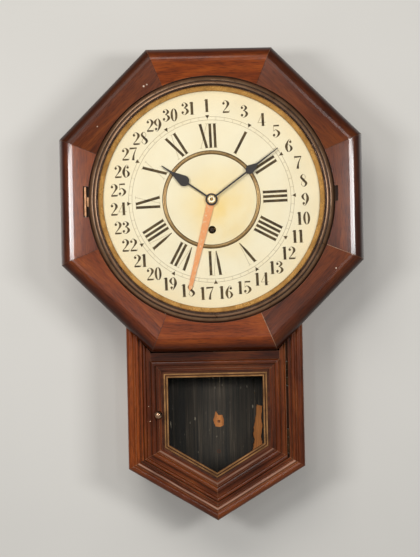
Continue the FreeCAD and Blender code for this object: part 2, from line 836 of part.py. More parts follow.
# Pane and the gilt slip in front of it.
PANE_BACK = "(%s + pane_depth)" % DOOR_BACK
PANE_FRONT = "(%s + pane_thick)" % PANE_BACK
PANE_INSET = "(%s + pane_gap)" % U_SASH
pane_side = inside(PANE_INSET)
keep("door_glass", seat(plate(
    "door_glass",
    [("-" + pane_side, SASH_TOP + " - pane_gap"), ("-" + pane_side, corner_z(PANE_INSET)),
     ("0", point_z(PANE_INSET)), (pane_side, corner_z(PANE_INSET)), (pane_side, SASH_TOP + " - pane_gap")],
    PANE_BACK, "pane_thick")))


def gilt_section():
    """Waste above the slip: two small ribs with a hollow between and a low outer step."""
    def spot(part, height):
        return ("%s + %s*gilt_width" % (U_SASH, part), height)
    low, full = "0.35*gilt_rise", "gilt_rise"
    return [spot("-1", low), spot("0.34", low), spot("0.38", full), spot("0.57", full), spot("0.61", low),
            spot("0.71", low), spot("0.75", full), spot("0.95", full), spot("1", "0.6*gilt_rise"),
            spot("1.3", "0.6*gilt_rise"), spot("1.3", "gilt_rise + 2"), spot("-1", "gilt_rise + 2")]


def gilt_side(name, side):
    corners = [(SASH_TOP, U_SASH), (corner_z(U_SASH), U_SASH), (corner_z(U_SIGHT), U_SIGHT),
               (SIGHT_TOP, U_SIGHT)]
    return moulded(name, corners, PANE_FRONT, "gilt_rise", gilt_section(), -90 * side,
                   "%d*%s" % (side, HALF), "0", side)


def gilt_lower(name, side):
    corners = [(edge_at(U_SASH, "0"), U_SASH), (edge_at(U_SASH, inside(U_SASH)), U_SASH),
               (edge_at(U_SIGHT, inside(U_SIGHT)), U_SIGHT), (edge_at(U_SIGHT, "0"), U_SIGHT)]
    return moulded(name, corners, PANE_FRONT, "gilt_rise", gilt_section(), "%d*drop_slope" % -side,
                   "0", "(-%s)" % DROP_POINT, side)


gilt_top = moulded(
    "gilt_top",
    [(inside(U_SASH), U_SASH), (inside(U_SIGHT), U_SIGHT), ("-" + inside(U_SIGHT), U_SIGHT),
     ("-" + inside(U_SASH), U_SASH)],
    PANE_FRONT, "gilt_rise", gilt_section(), 180, "0", "(%s + %s)" % (DOOR_TOP, U_DOOR))
group("door_bead", pair("gilt_side", gilt_side) + pair("gilt_lower", gilt_lower) + [gilt_top])

# Knob with its spindle, and the tongue that turns into the side board's mortise.
KNOB_MIDDLE = "(%s + door_crest_rise + knob_gap + knob_radius)" % DOOR_BACK
knob = turned("door_knob", [
    ("0", TONGUE_BACK), ("spindle_radius", TONGUE_BACK),
    ("spindle_radius", KNOB_MIDDLE + " - sqrt(knob_radius^2 - spindle_radius^2)", "knob_radius"),
    ("knob_radius", KNOB_MIDDLE, "knob_radius"), ("0", KNOB_MIDDLE + " + knob_radius"),
])
keep("door_knob", seat(knob, KNOB_X, KNOB_Z))
tongue_half = "tongue_width/2"
tongue_eye = "spindle_radius + 1.6"
tongue = plate("door_latch_tongue", [
    ("-" + tongue_half, "0"), ("-" + tongue_half, "-tongue_reach"), (tongue_half, "-tongue_reach"),
    (tongue_half, "0"),
], TONGUE_BACK, "tongue_thick")
eye = sketch(tongue, "XZ_Plane", TONGUE_BACK)
circle(eye, tongue_eye)
pad(tongue, eye, "tongue_thick")
eye_bore = sketch(tongue, "XZ_Plane")
circle(eye_bore, "spindle_radius")
pocket(tongue, eye_bore)
keep("door_latch_tongue", seat(tongue, KNOB_X, KNOB_Z))

# Hinges. Each barrel is split in three: the case leaf holds the outer two, the moving leaf the middle.


def knuckles(label, radius, bore, x, depth, middle, height, which):
    """Barrel pieces of one leaf, bored for the pin; the split leaves the play between them."""
    sixth, half = "(%s)/6" % height, "(%s)/2" % height
    spans = {
        "case": [("-" + half, "-%s - end_play/2" % sixth), (sixth + " + end_play/2", half)],
        "moving": [("-%s + end_play/2" % sixth, sixth + " - end_play/2")],
    }[which]
    barrels = []
    for number, (low, high) in enumerate(spans):
        ends = ("%s + %s" % (middle, low), "%s + %s" % (middle, high))
        barrels.append(rod("%s_barrel_%d" % (label, number), radius, *ends, x, depth, True))
    core_ends = ("%s - %s" % (middle, height), "%s + %s" % (middle, height))
    core = rod(label + "_bore", bore, *core_ends, x, depth, True)
    return barrels, core, spans


LEAF_LOW = "(case_depth + 1.2)"
DOOR_BORE = "door_pin + running_play"


def door_leaf(label, which, middle):
    barrels, core, spans = knuckles(label, "door_barrel", DOOR_BORE, HINGE_X, HINGE_DEPTH, middle,
                                    "leaf_height", which)
    if which == "case":
        low, high = inside(U_FRAME) + " - leaf_thick", inside(U_FRAME)
    else:
        low, high = inside(U_HINGE), inside(U_HINGE) + " + leaf_thick"
    web = block(label + "_web", low, high, LEAF_LOW, HINGE_DEPTH + " - door_barrel - 0.3",
                middle + " - leaf_height/2", middle + " + leaf_height/2")
    necks = [
        block("%s_neck_%d" % (label, i), low, high, LEAF_LOW, HINGE_DEPTH, "%s + %s" % (middle, a),
              "%s + %s" % (middle, b))
        for i, (a, b) in enumerate(spans)
    ]
    return cut(label, fuse(label + "_raw", barrels + necks + [web]), [core])


DOOR_HINGES = ["(-%s - upper_hinge_drop)" % APOTHEM, "(%s + lower_hinge_lift)" % corner_z(U_HINGE)]
BEZEL_HINGE_X = "(-%s - bezel_hinge_out)" % RIM
BEZEL_HINGE_DEPTH = "(%s + bezel_hinge_rise)" % RAIL_FRONT
BEZEL_BORE = "bezel_pin + running_play"


def bezel_case_leaf():
    """Leaf let into the kerf in the left rail; only its barrel shows."""
    barrels, core, spans = knuckles("bezel_case_leaf", "bezel_barrel", BEZEL_BORE, BEZEL_HINGE_X,
                                    BEZEL_HINGE_DEPTH, "0", "bezel_leaf_height", "case")
    low, high = BEZEL_HINGE_X + " - leaf_thick/2", BEZEL_HINGE_X + " + leaf_thick/2"
    web = block("bezel_case_leaf_web", low, high, RAIL_FRONT + " - kerf_depth", RAIL_FRONT,
                "-bezel_leaf_height/2", "bezel_leaf_height/2")
    necks = [
        block("bezel_case_leaf_neck_%d" % i, low, high, RAIL_FRONT + " - 1", BEZEL_HINGE_DEPTH, a, b)
        for i, (a, b) in enumerate(spans)
    ]
    return cut("bezel_case_leaf", fuse("bezel_case_leaf_raw", barrels + necks + [web]), [core])


def bezel_leaf():
    """Short tab from the middle knuckle, fitted to the bezel's rim."""
    barrels, core, spans = knuckles("bezel_leaf", "bezel_barrel", BEZEL_BORE, BEZEL_HINGE_X,
                                    BEZEL_HINGE_DEPTH, "0", "bezel_leaf_height", "moving")
    tab = block("bezel_leaf_tab", BEZEL_HINGE_X, "-%s + 1" % RIM, RAIL_FRONT + " + bezel_lift + 0.4",
                RAIL_FRONT + " + band_edge", *spans[0])
    rim = rod("bezel_leaf_rim", RIM, RAIL_FRONT, BEZEL_HINGE_DEPTH + " + bezel_barrel")
    whole = fuse("bezel_leaf_raw", barrels + [tab])
    return keep("bezel_hinge_leaf", cut("bezel_hinge_leaf", whole, [core, rim]))


group("hinge_case_leaves", [bezel_case_leaf()] + [
    door_leaf("door_case_leaf_%d" % i, "case", middle) for i, middle in enumerate(DOOR_HINGES)])
group("door_hinge_leaves", [
    door_leaf("door_moving_leaf_%d" % i, "moving", middle) for i, middle in enumerate(DOOR_HINGES)])
bezel_leaf()
pins = [rod("bezel_hinge_pin", "bezel_pin", "-bezel_leaf_height/2 - bezel_pin_proud",
            "bezel_leaf_height/2 + bezel_pin_proud", BEZEL_HINGE_X, BEZEL_HINGE_DEPTH, True)]
for position, middle in enumerate(DOOR_HINGES):
    ends = (middle + " - leaf_height/2 - door_pin_proud", middle + " + leaf_height/2 + door_pin_proud")
    pins.append(rod("door_hinge_pin_%d" % position, "door_pin", *ends, HINGE_X, HINGE_DEPTH, True))
group("hinge_pins", pins)

# Bezel ring: outer band, groove and bead over the lip, hollow behind; the sight ring and glass lie inside it.


def over(rise):
    """Depth of a height in front of the rail flats."""
    return "(%s + %s)" % (RAIL_FRONT, rise)


BORE, LIP = RIM + " - bore_in", RIM + " - lip_in"
BEAD, BAND = RIM + " - bead_in", RIM + " - band_in"
GROOVE = over("band_rise - 1.2")
HOLLOW = over("band_rise - 1.2 - bezel_wall")
keep("bezel_ring", seat(turned("bezel_ring", [
    (BORE, over("bezel_lift")),
    (BORE, over("glass_rise + glass_thick")),
    (LIP, over("glass_rise + glass_thick")),
    (LIP, over("bezel_rise"), "-bead_bend"),
    (BEAD, over("bead_edge")),
    (BEAD, GROOVE),
    (BAND, GROOVE),
    (BAND, over("band_rise"), "-band_round"),
    (RIM, over("band_edge")),
    (RIM, over("bezel_lift")),
    (RIM + " - bezel_wall", over("bezel_lift")),
    (RIM + " - bezel_wall", over("band_edge - bezel_wall/2")),
    (BAND + " + bezel_wall", HOLLOW),
    (BORE + " + bezel_wall", HOLLOW),
    (BORE + " + bezel_wall", over("bezel_lift")),
])))
FLANGE = BORE + " - 0.3"
SIGHT = RIM + " - sight_in"
sight_top = LIP + " - 1"
keep("bezel_sight_ring", seat(turned("bezel_sight_ring", [
    (FLANGE, over("glass_rise")),
    (sight_top, over("glass_rise")),
    (SIGHT, over("sight_foot")),
    (SIGHT + " + sight_wall", over("sight_foot")),
    (sight_top + " + 0.8", over("glass_rise - sight_wall")),
    (FLANGE, over("glass_rise - sight_wall")),
])))
keep("bezel_glass", seat(plate("bezel_glass", FLANGE, over("glass_rise"), "glass_thick")))
catch_low = RIM + " + catch_out"
keep("bezel_catch_spring", block(
    "bezel_catch_spring", catch_low, catch_low + " + catch_thick", RAIL_FRONT + " - kerf_depth",
    over("catch_rise"), "catch_shift - catch_height/2", "catch_shift + catch_height/2"))

# Dial with its planted ring.
SCREW_RING = "(%s - dial_screw_in)" % DIAL
DIAL_SCREWS = [("%s*sin(%d)" % (SCREW_RING, a), "%s*cos(%d)" % (SCREW_RING, a)) for a in (45, 135, 225, 315)]
keep("dial_plate", seat(plate(
    "dial_plate", DIAL, DIAL_BACK, "dial_thick",
    [("dial_bore",), ("key_hole", "0", "-key_drop")] + [("screw_shank", *spot) for spot in DIAL_SCREWS])))
ring_outer = "ring_share*" + DIAL
keep("dial_centre_ring", seat(turned("dial_centre_ring", [
    (ring_outer + " - ring_width", DIAL_FRONT),
    (ring_outer, DIAL_FRONT, "(ring_width^2/4 + ring_rise^2)/(2*ring_rise)"),
])))

# Hands, drawn pointing to twelve and turned to the time shown.


def lifted(lift):
    return "(%s + %s)" % (DIAL_FRONT, lift)


def add_hub(hand, start, radius, bore):
    hub = sketch(hand, "XZ_Plane", start)
    circle(hub, radius)
    pad(hand, hub, "hand_thick")
    hole = sketch(hand, "XZ_Plane")
    circle(hole, bore)
    pocket(hand, hole)


def pear_hand(label, lift, length, middle, radius, neck, hub, bore, angle):
    """Thin stem, a teardrop with its round end inwards, and a fine tip."""
    stem, waist, tip = "stem_width/2", "neck_width/2", "tip_width/2"
    shoulder_z = "%s - sqrt(%s^2 - (stem_width/2)^2)" % (middle, radius)
    cheek, cheek_z = "0.94*" + radius, "%s + 0.34*%s" % (middle, radius)
    neck_z = "%s + %s" % (middle, neck)
    right = [(stem, "2"), (stem, shoulder_z, "-" + radius), (cheek, cheek_z), (waist, neck_z), (tip, length)]
    left = [("-" + tip, length), ("-" + waist, neck_z), ("-" + cheek, cheek_z, "-" + radius),
            ("-" + stem, shoulder_z), ("-" + stem, "2")]
    hand = plate(label, right + left, lifted(lift), "hand_thick")
    add_hub(hand, lifted(lift), hub, bore)
    return keep(label, seat(hand, "0", "0", angle))


def share(name):
    """Length on the dial from a share of its radius."""
    return "(%s*%s)" % (name, DIAL)


pear_hand("minute_hand", "minute_lift", share("minute_share"), share("minute_drop_share"),
          "minute_drop_radius", "minute_neck", "minute_hub", "cannon_radius", "minute_angle")
pear_hand("hour_hand", "hour_lift", share("hour_share"), share("hour_drop_share"), "hour_drop_radius",
          "hour_neck", "hour_hub", "hour_pipe_radius", "hour_angle")
wide, narrow = "calendar_root_width/2", "calendar_end_width/2"
tip = share("calendar_share")
calendar_outline = [("-" + wide, "5"), (wide, "5"), (narrow, tip + " - 4"), ("0", tip),
                    ("-" + narrow, tip + " - 4")]
calendar_hand = plate("calendar_hand", calendar_outline, lifted("calendar_lift"), "hand_thick")
add_hub(calendar_hand, lifted("calendar_lift"), "calendar_hub", "calendar_pipe_radius")
keep("calendar_hand", seat(calendar_hand, "0", "0", "calendar_angle"))
NUT_BACK = lifted("minute_lift + hand_thick")
NUT_FRONT = "(%s + nut_thick)" % NUT_BACK
keep("hand_nut", seat(turned("hand_nut", [
    ("cannon_radius", NUT_BACK), ("nut_radius", NUT_BACK), ("nut_radius", NUT_BACK + " + 0.4*nut_thick"),
    ("nut_radius - 1.4", NUT_FRONT), ("cannon_radius", NUT_FRONT),
])))

# Movement arbors as (x, z) from the dial axis.
CENTRE_TIP = "third_reach*%g" % ((CENTRE + 2 * ADDENDUM) / (CENTRE + THIRD_PINION))
SECOND_REACH = "(%s + arbor_radius + second_gap)" % CENTRE_TIP
SECOND_Z = "(-(key_drop^2 + %s^2 - great_reach^2)/(2*key_drop))" % SECOND_REACH
SECOND_X = "(-sqrt(%s^2 - %s^2))" % (SECOND_REACH, SECOND_Z)
THIRD_Z = "((escape_rise^2 + third_reach^2 - escape_reach^2)/(2*escape_rise))"
THIRD_X = "sqrt(third_reach^2 - %s^2)" % THIRD_Z
WINDING_AT = ("0", "(-key_drop)")
SECOND_AT = (SECOND_X, SECOND_Z)
THIRD_AT = (THIRD_X, THIRD_Z)
ESCAPE_AT = ("0", "escape_rise")
VERGE_AT = ("0", "verge_rise")
MINUTE_AT = ("motion_reach*cos(45)", "(-motion_reach*sin(45))")
DATE_AT = ("(-motion_reach)", "0")
POST_TURN = 200
POST_REACH = "(spring_outer + spring_strip/2 + spring_play + spring_post_radius)"
POST_AT = ("%s*cos(%d)" % (POST_REACH, POST_TURN), "(-key_drop + %s*sin(%d))" % (POST_REACH, POST_TURN))
SMALL_HOLE = "arbor_radius + running_play"
plate_x, plate_z = "plate_width/2", "plate_height/2"
plate_outline = [("-" + plate_x, "-" + plate_z), (plate_x, "-" + plate_z), (plate_x, plate_z),
                 ("-" + plate_x, plate_z)]
pivots = [("winding_radius + running_play", *WINDING_AT)]
pivots += [(SMALL_HOLE, *spot) for spot in (SECOND_AT, THIRD_AT, ESCAPE_AT, VERGE_AT)]
pivots += [("tenon_radius", *spot) for spot in PILLARS + [POST_AT]]
pivots.append(("centre_radius + running_play",))
keep("back_plate", seat(plate("back_plate", plate_outline, "back_plate_depth", "plate_thick", pivots)))
front_plate = plate("front_plate", plate_outline, "front_plate_depth", "plate_thick", pivots)
PLATE_FRONT = "(front_plate_depth + plate_thick)"
PLATE_ROOM = "(back_plate_depth + plate_thick)"
studs = sketch(front_plate, "XZ_Plane", PLATE_FRONT)
circle(studs, "arbor_radius", *MINUTE_AT)
circle(studs, "arbor_radius", *DATE_AT)
front_plate.AllowCompound = True
CANNON_START = "(%s + 1)" % PLATE_FRONT
MINUTE_PINION_START = "(%s + pinion_thick + 0.6)" % CANNON_START
HOUR_PINION_START = "(%s + wheel_thick + 0.8)" % MINUTE_PINION_START
CALENDAR_START = "(%s + pinion_thick + 1)" % HOUR_PINION_START
pad(front_plate, studs, "%s - %s" % (HOUR_PINION_START + " + pinion_thick", PLATE_FRONT))
keep("front_plate", seat(front_plate))


def pillar(number, spot, foot):
    """Plate pillar; the four corner ones run on to a foot on the back board."""
    name = "pillar_%d" % number
    radius = "pillar_radius" if foot else "spring_post_radius"
    pieces = [
        rod(name + "_waist", radius, PLATE_ROOM, "front_plate_depth", *spot),
        rod(name + "_tenon", "tenon_radius", "back_plate_depth", PLATE_FRONT + " + tenon_proud", *spot),
    ]
    if not foot:
        return fuse(name, pieces)
    pieces.append(rod(name + "_leg", radius, "back_thick", "back_plate_depth", *spot))
    pieces.append(rod(name + "_foot", "foot_radius", "back_thick", "back_thick + foot_thick", *spot))
    hole_ends = ("back_thick - 1", "back_thick + foot_thick + 1")
    hole = rod(name + "_hole", "screw_shank", *hole_ends, *foot_screw(spot))
    return cut(name, fuse(name + "_raw", pieces), [hole])


corner_pillars = [pillar(number, spot, True) for number, spot in enumerate(PILLARS)]
group("plate_pillars", corner_pillars + [pillar(len(PILLARS), POST_AT, False)])


def screw(number, spot, head, towards_wall):
    """Round-headed screw; head is the depth of the face under its head."""
    name = "screw_%d" % number
    if towards_wall:
        ends = [(head, "%s + screw_head_thick" % head), ("%s - screw_length" % head, head)]
    else:
        ends = [("%s - screw_head_thick" % head, head), (head, "%s + screw_length" % head)]
    return fuse(name, [
        rod(name + "_head", "screw_head", *ends[0], *spot),
        rod(name + "_shank", "screw_shank", *ends[1], *spot),
    ])


screw_list = [(spot, DIAL_FRONT, True) for spot in DIAL_SCREWS]
screw_list += [(foot_screw(spot), "(back_thick + foot_thick)", True) for spot in PILLARS]
screw_list += [(spot, "screw_head_thick", False) for spot in HANGER_SCREWS]
group("wood_screws", [screw(i, *item) for i, item in enumerate(screw_list)])

# Computed wheels. Angles grow from +X towards +Z as seen from the front.
sizes = {name: value(name) for name in SIZES}
FULL = 2 * math.pi
PRESSURE = math.radians(25)


def involute(angle):
    return math.tan(angle) - angle


def prism(points, start, end):
    """Flat-sided piece between two depths from its front outline."""
    ring = [V(x, -start, z) for x, z in points]
    face = Part.Face(Part.makePolygon(ring + ring[:1]))
    return face.extrude(V(0, start - end, 0))


def shaft(radius, start, end, x=0, z=0):
    return Part.makeCylinder(radius, end - start, V(x, -start, z), V(0, -1, 0))


def polar(radius, angle):
    return (radius * math.cos(angle), radius * math.sin(angle))


def gear(teeth, module, phase, start, end):
    """Toothed blank with one tooth centred on the phase angle."""
    pitch = teeth * module / 2
    base = pitch * math.cos(PRESSURE)
    root, tip = pitch - module, pitch + ADDENDUM * module
    middle = (math.pi * module / 2 - sizes["tooth_play"]) / (2 * pitch)
    stations = []
    for radius in (root, max(root, base), pitch, tip):
        lean = math.acos(min(base / radius, 1))
        stations.append((radius, middle + involute(PRESSURE) - involute(lean)))
    if root < base:
        stations[0] = (root, 0.9 * stations[0][1])
    else:
        stations.pop(1)
    points = []
    for tooth in range(teeth):
        centre = phase + FULL * tooth / teeth
        points += [polar(radius, centre - half) for radius, half in stations]
        points += [polar(radius, centre + half) for radius, half in reversed(stations)]
    return prism(points, start, end)


def saw_wheel(teeth, root, tip, start, end, lean=0.25):
    """Pointed teeth with one steep flank."""
    step = FULL / teeth
    points = []
    for tooth in range(teeth):
        at = tooth * step
        points += [polar(root, at), polar(tip, at + lean * step), polar(tip, at + (lean + 0.06) * step)]
        points.append(polar(root, at + 0.75 * step))
    return prism(points, start, end)


def lightened(wheel, outer, inner, start, end, holes=5):
    """Wheel with round openings between hub and rim."""
    radius = 0.42 * (outer - inner)
    for hole in range(holes):
        x, z = polar((outer + inner) / 2, FULL * (hole + 0.5) / holes)
        wheel = wheel.cut(shaft(radius, start - 1, end + 1, x, z))
    return wheel


def joined(pieces, bore=None):
    """One piece of several touching ones, bored through if asked."""
    whole = pieces[0].fuse(pieces[1:]) if len(pieces) > 1 else pieces[0]
    if bore:
        whole = whole.cut(shaft(bore, 0, 2 * sizes["case_depth"]))
    return whole.removeSplitter()


def heading(start, end):
    """Direction from one arbor to another."""
    return math.atan2(value(end[1]) - value(start[1]), value(end[0]) - value(start[0]))


def mesh_phase(teeth, phase, direction, mate):
    """Phase of a mate whose gap faces the tooth pattern of the first wheel."""
    step, mate_step = FULL / teeth, FULL / mate
    part = ((direction - phase) / step) % 1
    return direction + math.pi - (0.5 - part) * mate_step


def module_of(reach, first, second):
    return 2 * value(reach) / (first + second)


CENTRE_AT = ("0", "0")
BACK_END = sizes["back_plate_depth"] - 0.5
FRONT_END = sizes["front_plate_depth"] + sizes["plate_thick"] + 0.5
ROOM = value(PLATE_ROOM)
thin, thick, leaf = sizes["wheel_thick"], sizes["great_thick"], sizes["pinion_thick"]
arbor, play = sizes["arbor_radius"], sizes["running_play"]

# Layers of the going train, counted from the back plate's inner face.
centre_layer = (ROOM + 1, ROOM + 1 + thin)
great_layer = (centre_layer[1] + 1.6, centre_layer[1] + 1.6 + thick)
ratchet_layer = (great_layer[1] + sizes["end_play"], great_layer[1] + sizes["end_play"] + thin)
spring_width = sizes["spring_share"] * (sizes["front_plate_depth"] - ROOM)
spring_layer = (ratchet_layer[1] + 1, ratchet_layer[1] + 1 + spring_width)
second_layer = (spring_layer[1] + 1.5, spring_layer[1] + 1.5 + thin)
escape_layer = (great_layer[1] + 1, great_layer[1] + 1 + thin)
third_layer = (escape_layer[1] + 8, escape_layer[1] + 8 + thin)


def around(layer, extra=0.6):
    """Layer of a pinion a little longer than its wheel."""
    return (layer[0] - extra, layer[1] + extra)


great_module = module_of("great_reach", GREAT, SECOND_PINION)
second_module = module_of(SECOND_REACH, SECOND, CENTRE_PINION)
centre_module = module_of("third_reach", CENTRE, THIRD_PINION)
third_module = module_of("escape_reach", THIRD, ESCAPE_PINION)

great = gear(GREAT, great_module, 0, *great_layer)
great = lightened(great, GREAT * great_module / 2 - 3, sizes["click_out"] + 4, *great_layer, holes=10)
stud_x, stud_z = 0, sizes["click_out"]
great = joined([great, shaft(sizes["click_stud"], great_layer[0], ratchet_layer[1] + 0.4, stud_x, stud_z)],
               sizes["winding_radius"] + play)
keep("great_wheel", solid("great_wheel", great, *WINDING_AT))

square = sizes["winding_square"] / 2
key_end = value(DIAL_BACK) - sizes["winding_sink"]
winding = joined([
    shaft(sizes["winding_radius"], BACK_END, FRONT_END + 2),
    saw_wheel(RATCHET, sizes["ratchet_radius"] - 1.5, sizes["ratchet_radius"], *ratchet_layer, lean=0.1),
    shaft(sizes["spring_hub"], *spring_layer),
    prism([(-square, -square), (square, -square), (square, square), (-square, square)],
          FRONT_END + 1, key_end),
])
keep("winding_arbor", solid("winding_arbor", winding, *WINDING_AT))

tip_out = sizes["ratchet_radius"] + 0.6
click_tip = polar(tip_out, math.radians(128))
click_arm = prism([
    (stud_x + 0.6, stud_z - 2.2), (stud_x - 0.4, stud_z + 2.3), (click_tip[0] - 1.6, click_tip[1] + 1.2),
    click_tip,
], *ratchet_layer)
click_eye = shaft(2.5, *ratchet_layer, stud_x, stud_z)
click_hole = shaft(sizes["click_stud"] + play, ratchet_layer[0] - 1, ratchet_layer[1] + 1, stud_x, stud_z)
keep("click", solid("click", click_arm.fuse(click_eye).cut(click_hole).removeSplitter(), *WINDING_AT))

second_phase = mesh_phase(GREAT, 0, heading(WINDING_AT, SECOND_AT), SECOND_PINION)
second = joined([
    gear(SECOND_PINION, great_module, second_phase, *around(great_layer)),
    lightened(gear(SECOND, second_module, 0, *second_layer), 0.8 * SECOND * second_module / 2, arbor + 1.5,
              *second_layer),
    shaft(arbor, BACK_END, FRONT_END),
])
keep("second_wheel", solid("second_wheel", second, *SECOND_AT))

centre_phase = mesh_phase(SECOND, 0, heading(SECOND_AT, CENTRE_AT), CENTRE_PINION)
tube_end = value(NUT_BACK) + 0.5 * sizes["nut_thick"]
centre = joined([
    gear(CENTRE_PINION, second_module, centre_phase, *around(second_layer)),
    lightened(gear(CENTRE, centre_module, 0, *centre_layer), 0.86 * CENTRE * centre_module / 2, arbor + 3,
              *centre_layer),
    shaft(sizes["centre_radius"], BACK_END, tube_end - 0.3),
])
keep("centre_wheel", solid("centre_wheel", centre))

third_phase = mesh_phase(CENTRE, 0, heading(CENTRE_AT, THIRD_AT), THIRD_PINION)
third = joined([
    gear(THIRD_PINION, centre_module, third_phase, *around(centre_layer)),
    lightened(gear(THIRD, third_module, 0, *third_layer), 0.86 * THIRD * third_module / 2, arbor + 3,
              *third_layer),
    shaft(arbor, BACK_END, FRONT_END),
])
keep("third_wheel", solid("third_wheel", third, *THIRD_AT))

escape_phase = mesh_phase(THIRD, 0, heading(THIRD_AT, ESCAPE_AT), ESCAPE_PINION)
escape_tip = sizes["escape_radius"]
escape = joined([
    gear(ESCAPE_PINION, third_module, escape_phase, *around(third_layer)),
    lightened(saw_wheel(ESCAPE, 0.84 * escape_tip, escape_tip, *escape_layer), 0.72 * escape_tip, arbor + 2,
              *escape_layer),
    shaft(arbor, BACK_END, FRONT_END),
])
keep("escape_wheel", solid("escape_wheel", escape, *ESCAPE_AT))

# Verge: strip anchor over the escape wheel, arbor, and the crutch with its fork round the pendulum rod.
drop = sizes["verge_rise"] - sizes["escape_rise"]
pallet = [(math.sin(a) * r, math.cos(a) * r - drop) for a, r in
          ((math.radians(46), escape_tip + 1.6), (math.radians(46), escape_tip + 3.4))]
anchor_half = [(0, -2.2), (0.55 * pallet[0][0], -3), pallet[0], pallet[1], (0.65 * pallet[1][0], 1), (0, 3)]
anchor = prism(anchor_half + [(-x, z) for x, z in reversed(anchor_half[1:-1])], *escape_layer)
rod_radius, wire = sizes["rod_radius"], sizes["fork_wire"]
prong = rod_radius + sizes["fork_play"] + wire
crutch_back = sizes["pendulum_depth"] + sizes["suspension_width"] / 2 + 2
fork_drop = sizes["fork_drop"]
verge = joined([
    anchor,
    shaft(arbor, crutch_back, FRONT_END),
    prism([(-1.4, 0), (-1.4, -fork_drop), (1.4, -fork_drop), (1.4, 0)], crutch_back, crutch_back + 1.5),
    prism([(-prong - wire, -fork_drop - 1), (prong + wire, -fork_drop - 1), (prong + wire, -fork_drop + 1),
           (-prong - wire, -fork_drop + 1)], crutch_back, crutch_back + 1.5),
    shaft(wire, sizes["pendulum_depth"] - rod_radius - 1, crutch_back + 0.5, prong, -fork_drop),
    shaft(wire, sizes["pendulum_depth"] - rod_radius - 1, crutch_back + 0.5, -prong, -fork_drop),
])
keep("verge_crutch", solid("verge_crutch", verge, *VERGE_AT))

# Motion work in front of the front plate.
cannon_module = module_of("motion_reach", CANNON, MINUTE)
hour_module = module_of("motion_reach", MINUTE_PINION, HOUR)
date_module = module_of("motion_reach", HOUR_PINION, DATE)
cannon_start, pinion_start = value(CANNON_START), value(MINUTE_PINION_START)
date_start, calendar_start = value(HOUR_PINION_START), value(CALENDAR_START)
cannon_r, hour_r = sizes["cannon_radius"], sizes["hour_pipe_radius"]

cannon = joined([gear(CANNON, cannon_module, 0, cannon_start, cannon_start + leaf),
                 shaft(cannon_r, cannon_start, tube_end)], sizes["centre_radius"] + play)
keep("cannon_pinion", solid("cannon_pinion", cannon))

minute_phase = mesh_phase(CANNON, 0, heading(CENTRE_AT, MINUTE_AT), MINUTE)
minute = joined([
    lightened(gear(MINUTE, cannon_module, minute_phase, cannon_start + 0.5, cannon_start + 0.5 + thin),
              0.78 * MINUTE * cannon_module / 2, arbor + 3, cannon_start, cannon_start + leaf),
    gear(MINUTE_PINION, hour_module, 0, cannon_start + 0.5, pinion_start + thin + 0.4),
], arbor + play)
keep("minute_wheel", solid("minute_wheel", minute, *MINUTE_AT))

hour_phase = mesh_phase(MINUTE_PINION, 0, heading(MINUTE_AT, CENTRE_AT), HOUR)
hour = joined([
    lightened(gear(HOUR, hour_module, hour_phase, pinion_start, pinion_start + thin),
              0.86 * HOUR * hour_module / 2, hour_r + 3, pinion_start, pinion_start + thin),
    gear(HOUR_PINION, date_module, 0, date_start, date_start + leaf),
    shaft(hour_r, pinion_start, value(lifted("hour_lift + hand_thick")) + 0.3),
], cannon_r + play)
keep("hour_wheel", solid("hour_wheel", hour))

date_phase = mesh_phase(HOUR_PINION, 0, heading(CENTRE_AT, DATE_AT), DATE)
calendar_tip = 0.6 * sizes["motion_reach"]
pin_x = -(sizes["motion_reach"] - calendar_tip - 1.5)
date = joined([
    gear(DATE, date_module, date_phase, date_start + 0.6, date_start + 0.6 + thin),
    shaft(arbor + 1.5, date_start + 0.6, date_start + leaf - 0.2),
    shaft(0.8, date_start + 0.6, calendar_start + thin, pin_x, 0),
], arbor + play)
keep("date_wheel", solid("date_wheel", date, *DATE_AT))

calendar = joined([
    saw_wheel(CALENDAR, 0.82 * calendar_tip, calendar_tip, calendar_start, calendar_start + thin, lean=0.37),
    shaft(sizes["calendar_pipe_radius"], calendar_start, value(lifted("calendar_lift + hand_thick")) + 0.3),
], hour_r + play)
keep("calendar_wheel", solid("calendar_wheel", calendar))


def coil(inner, outer, strip, turns, start, end):
    """Flat spiral of half-turns about two alternating centres."""
    step = (outer - inner) / turns
    faces = []
    for number in range(2 * turns):
        radius = inner + number * step / 2
        middle = 0 if number % 2 == 0 else step / 2
        side = 1 if number % 2 == 0 else -1
        arcs = []
        for edge in (radius - strip / 2, radius + strip / 2):
            spots = [V(middle + side * edge, -start, 0), V(middle, -start, side * edge),
                     V(middle - side * edge, -start, 0)]
            arcs.append(Part.Arc(*spots).toShape())
        ends = [Part.makeLine(arcs[0].Vertexes[i].Point, arcs[1].Vertexes[i].Point) for i in (0, 1)]
        faces.append(Part.Face(Part.Wire(Part.__sortEdges__(arcs + ends))))
    halves = [face.extrude(V(0, start - end, 0)) for face in faces]
    return joined(halves)


strip = sizes["spring_strip"]
spring_inner = sizes["spring_hub"] + sizes["spring_play"] + strip / 2
spring = coil(spring_inner, sizes["spring_outer"], strip, 6, *spring_layer)
spring.rotate(V(0, 0, 0), UP_Y, -POST_TURN)
keep("mainspring", solid("mainspring", spring, *WINDING_AT))

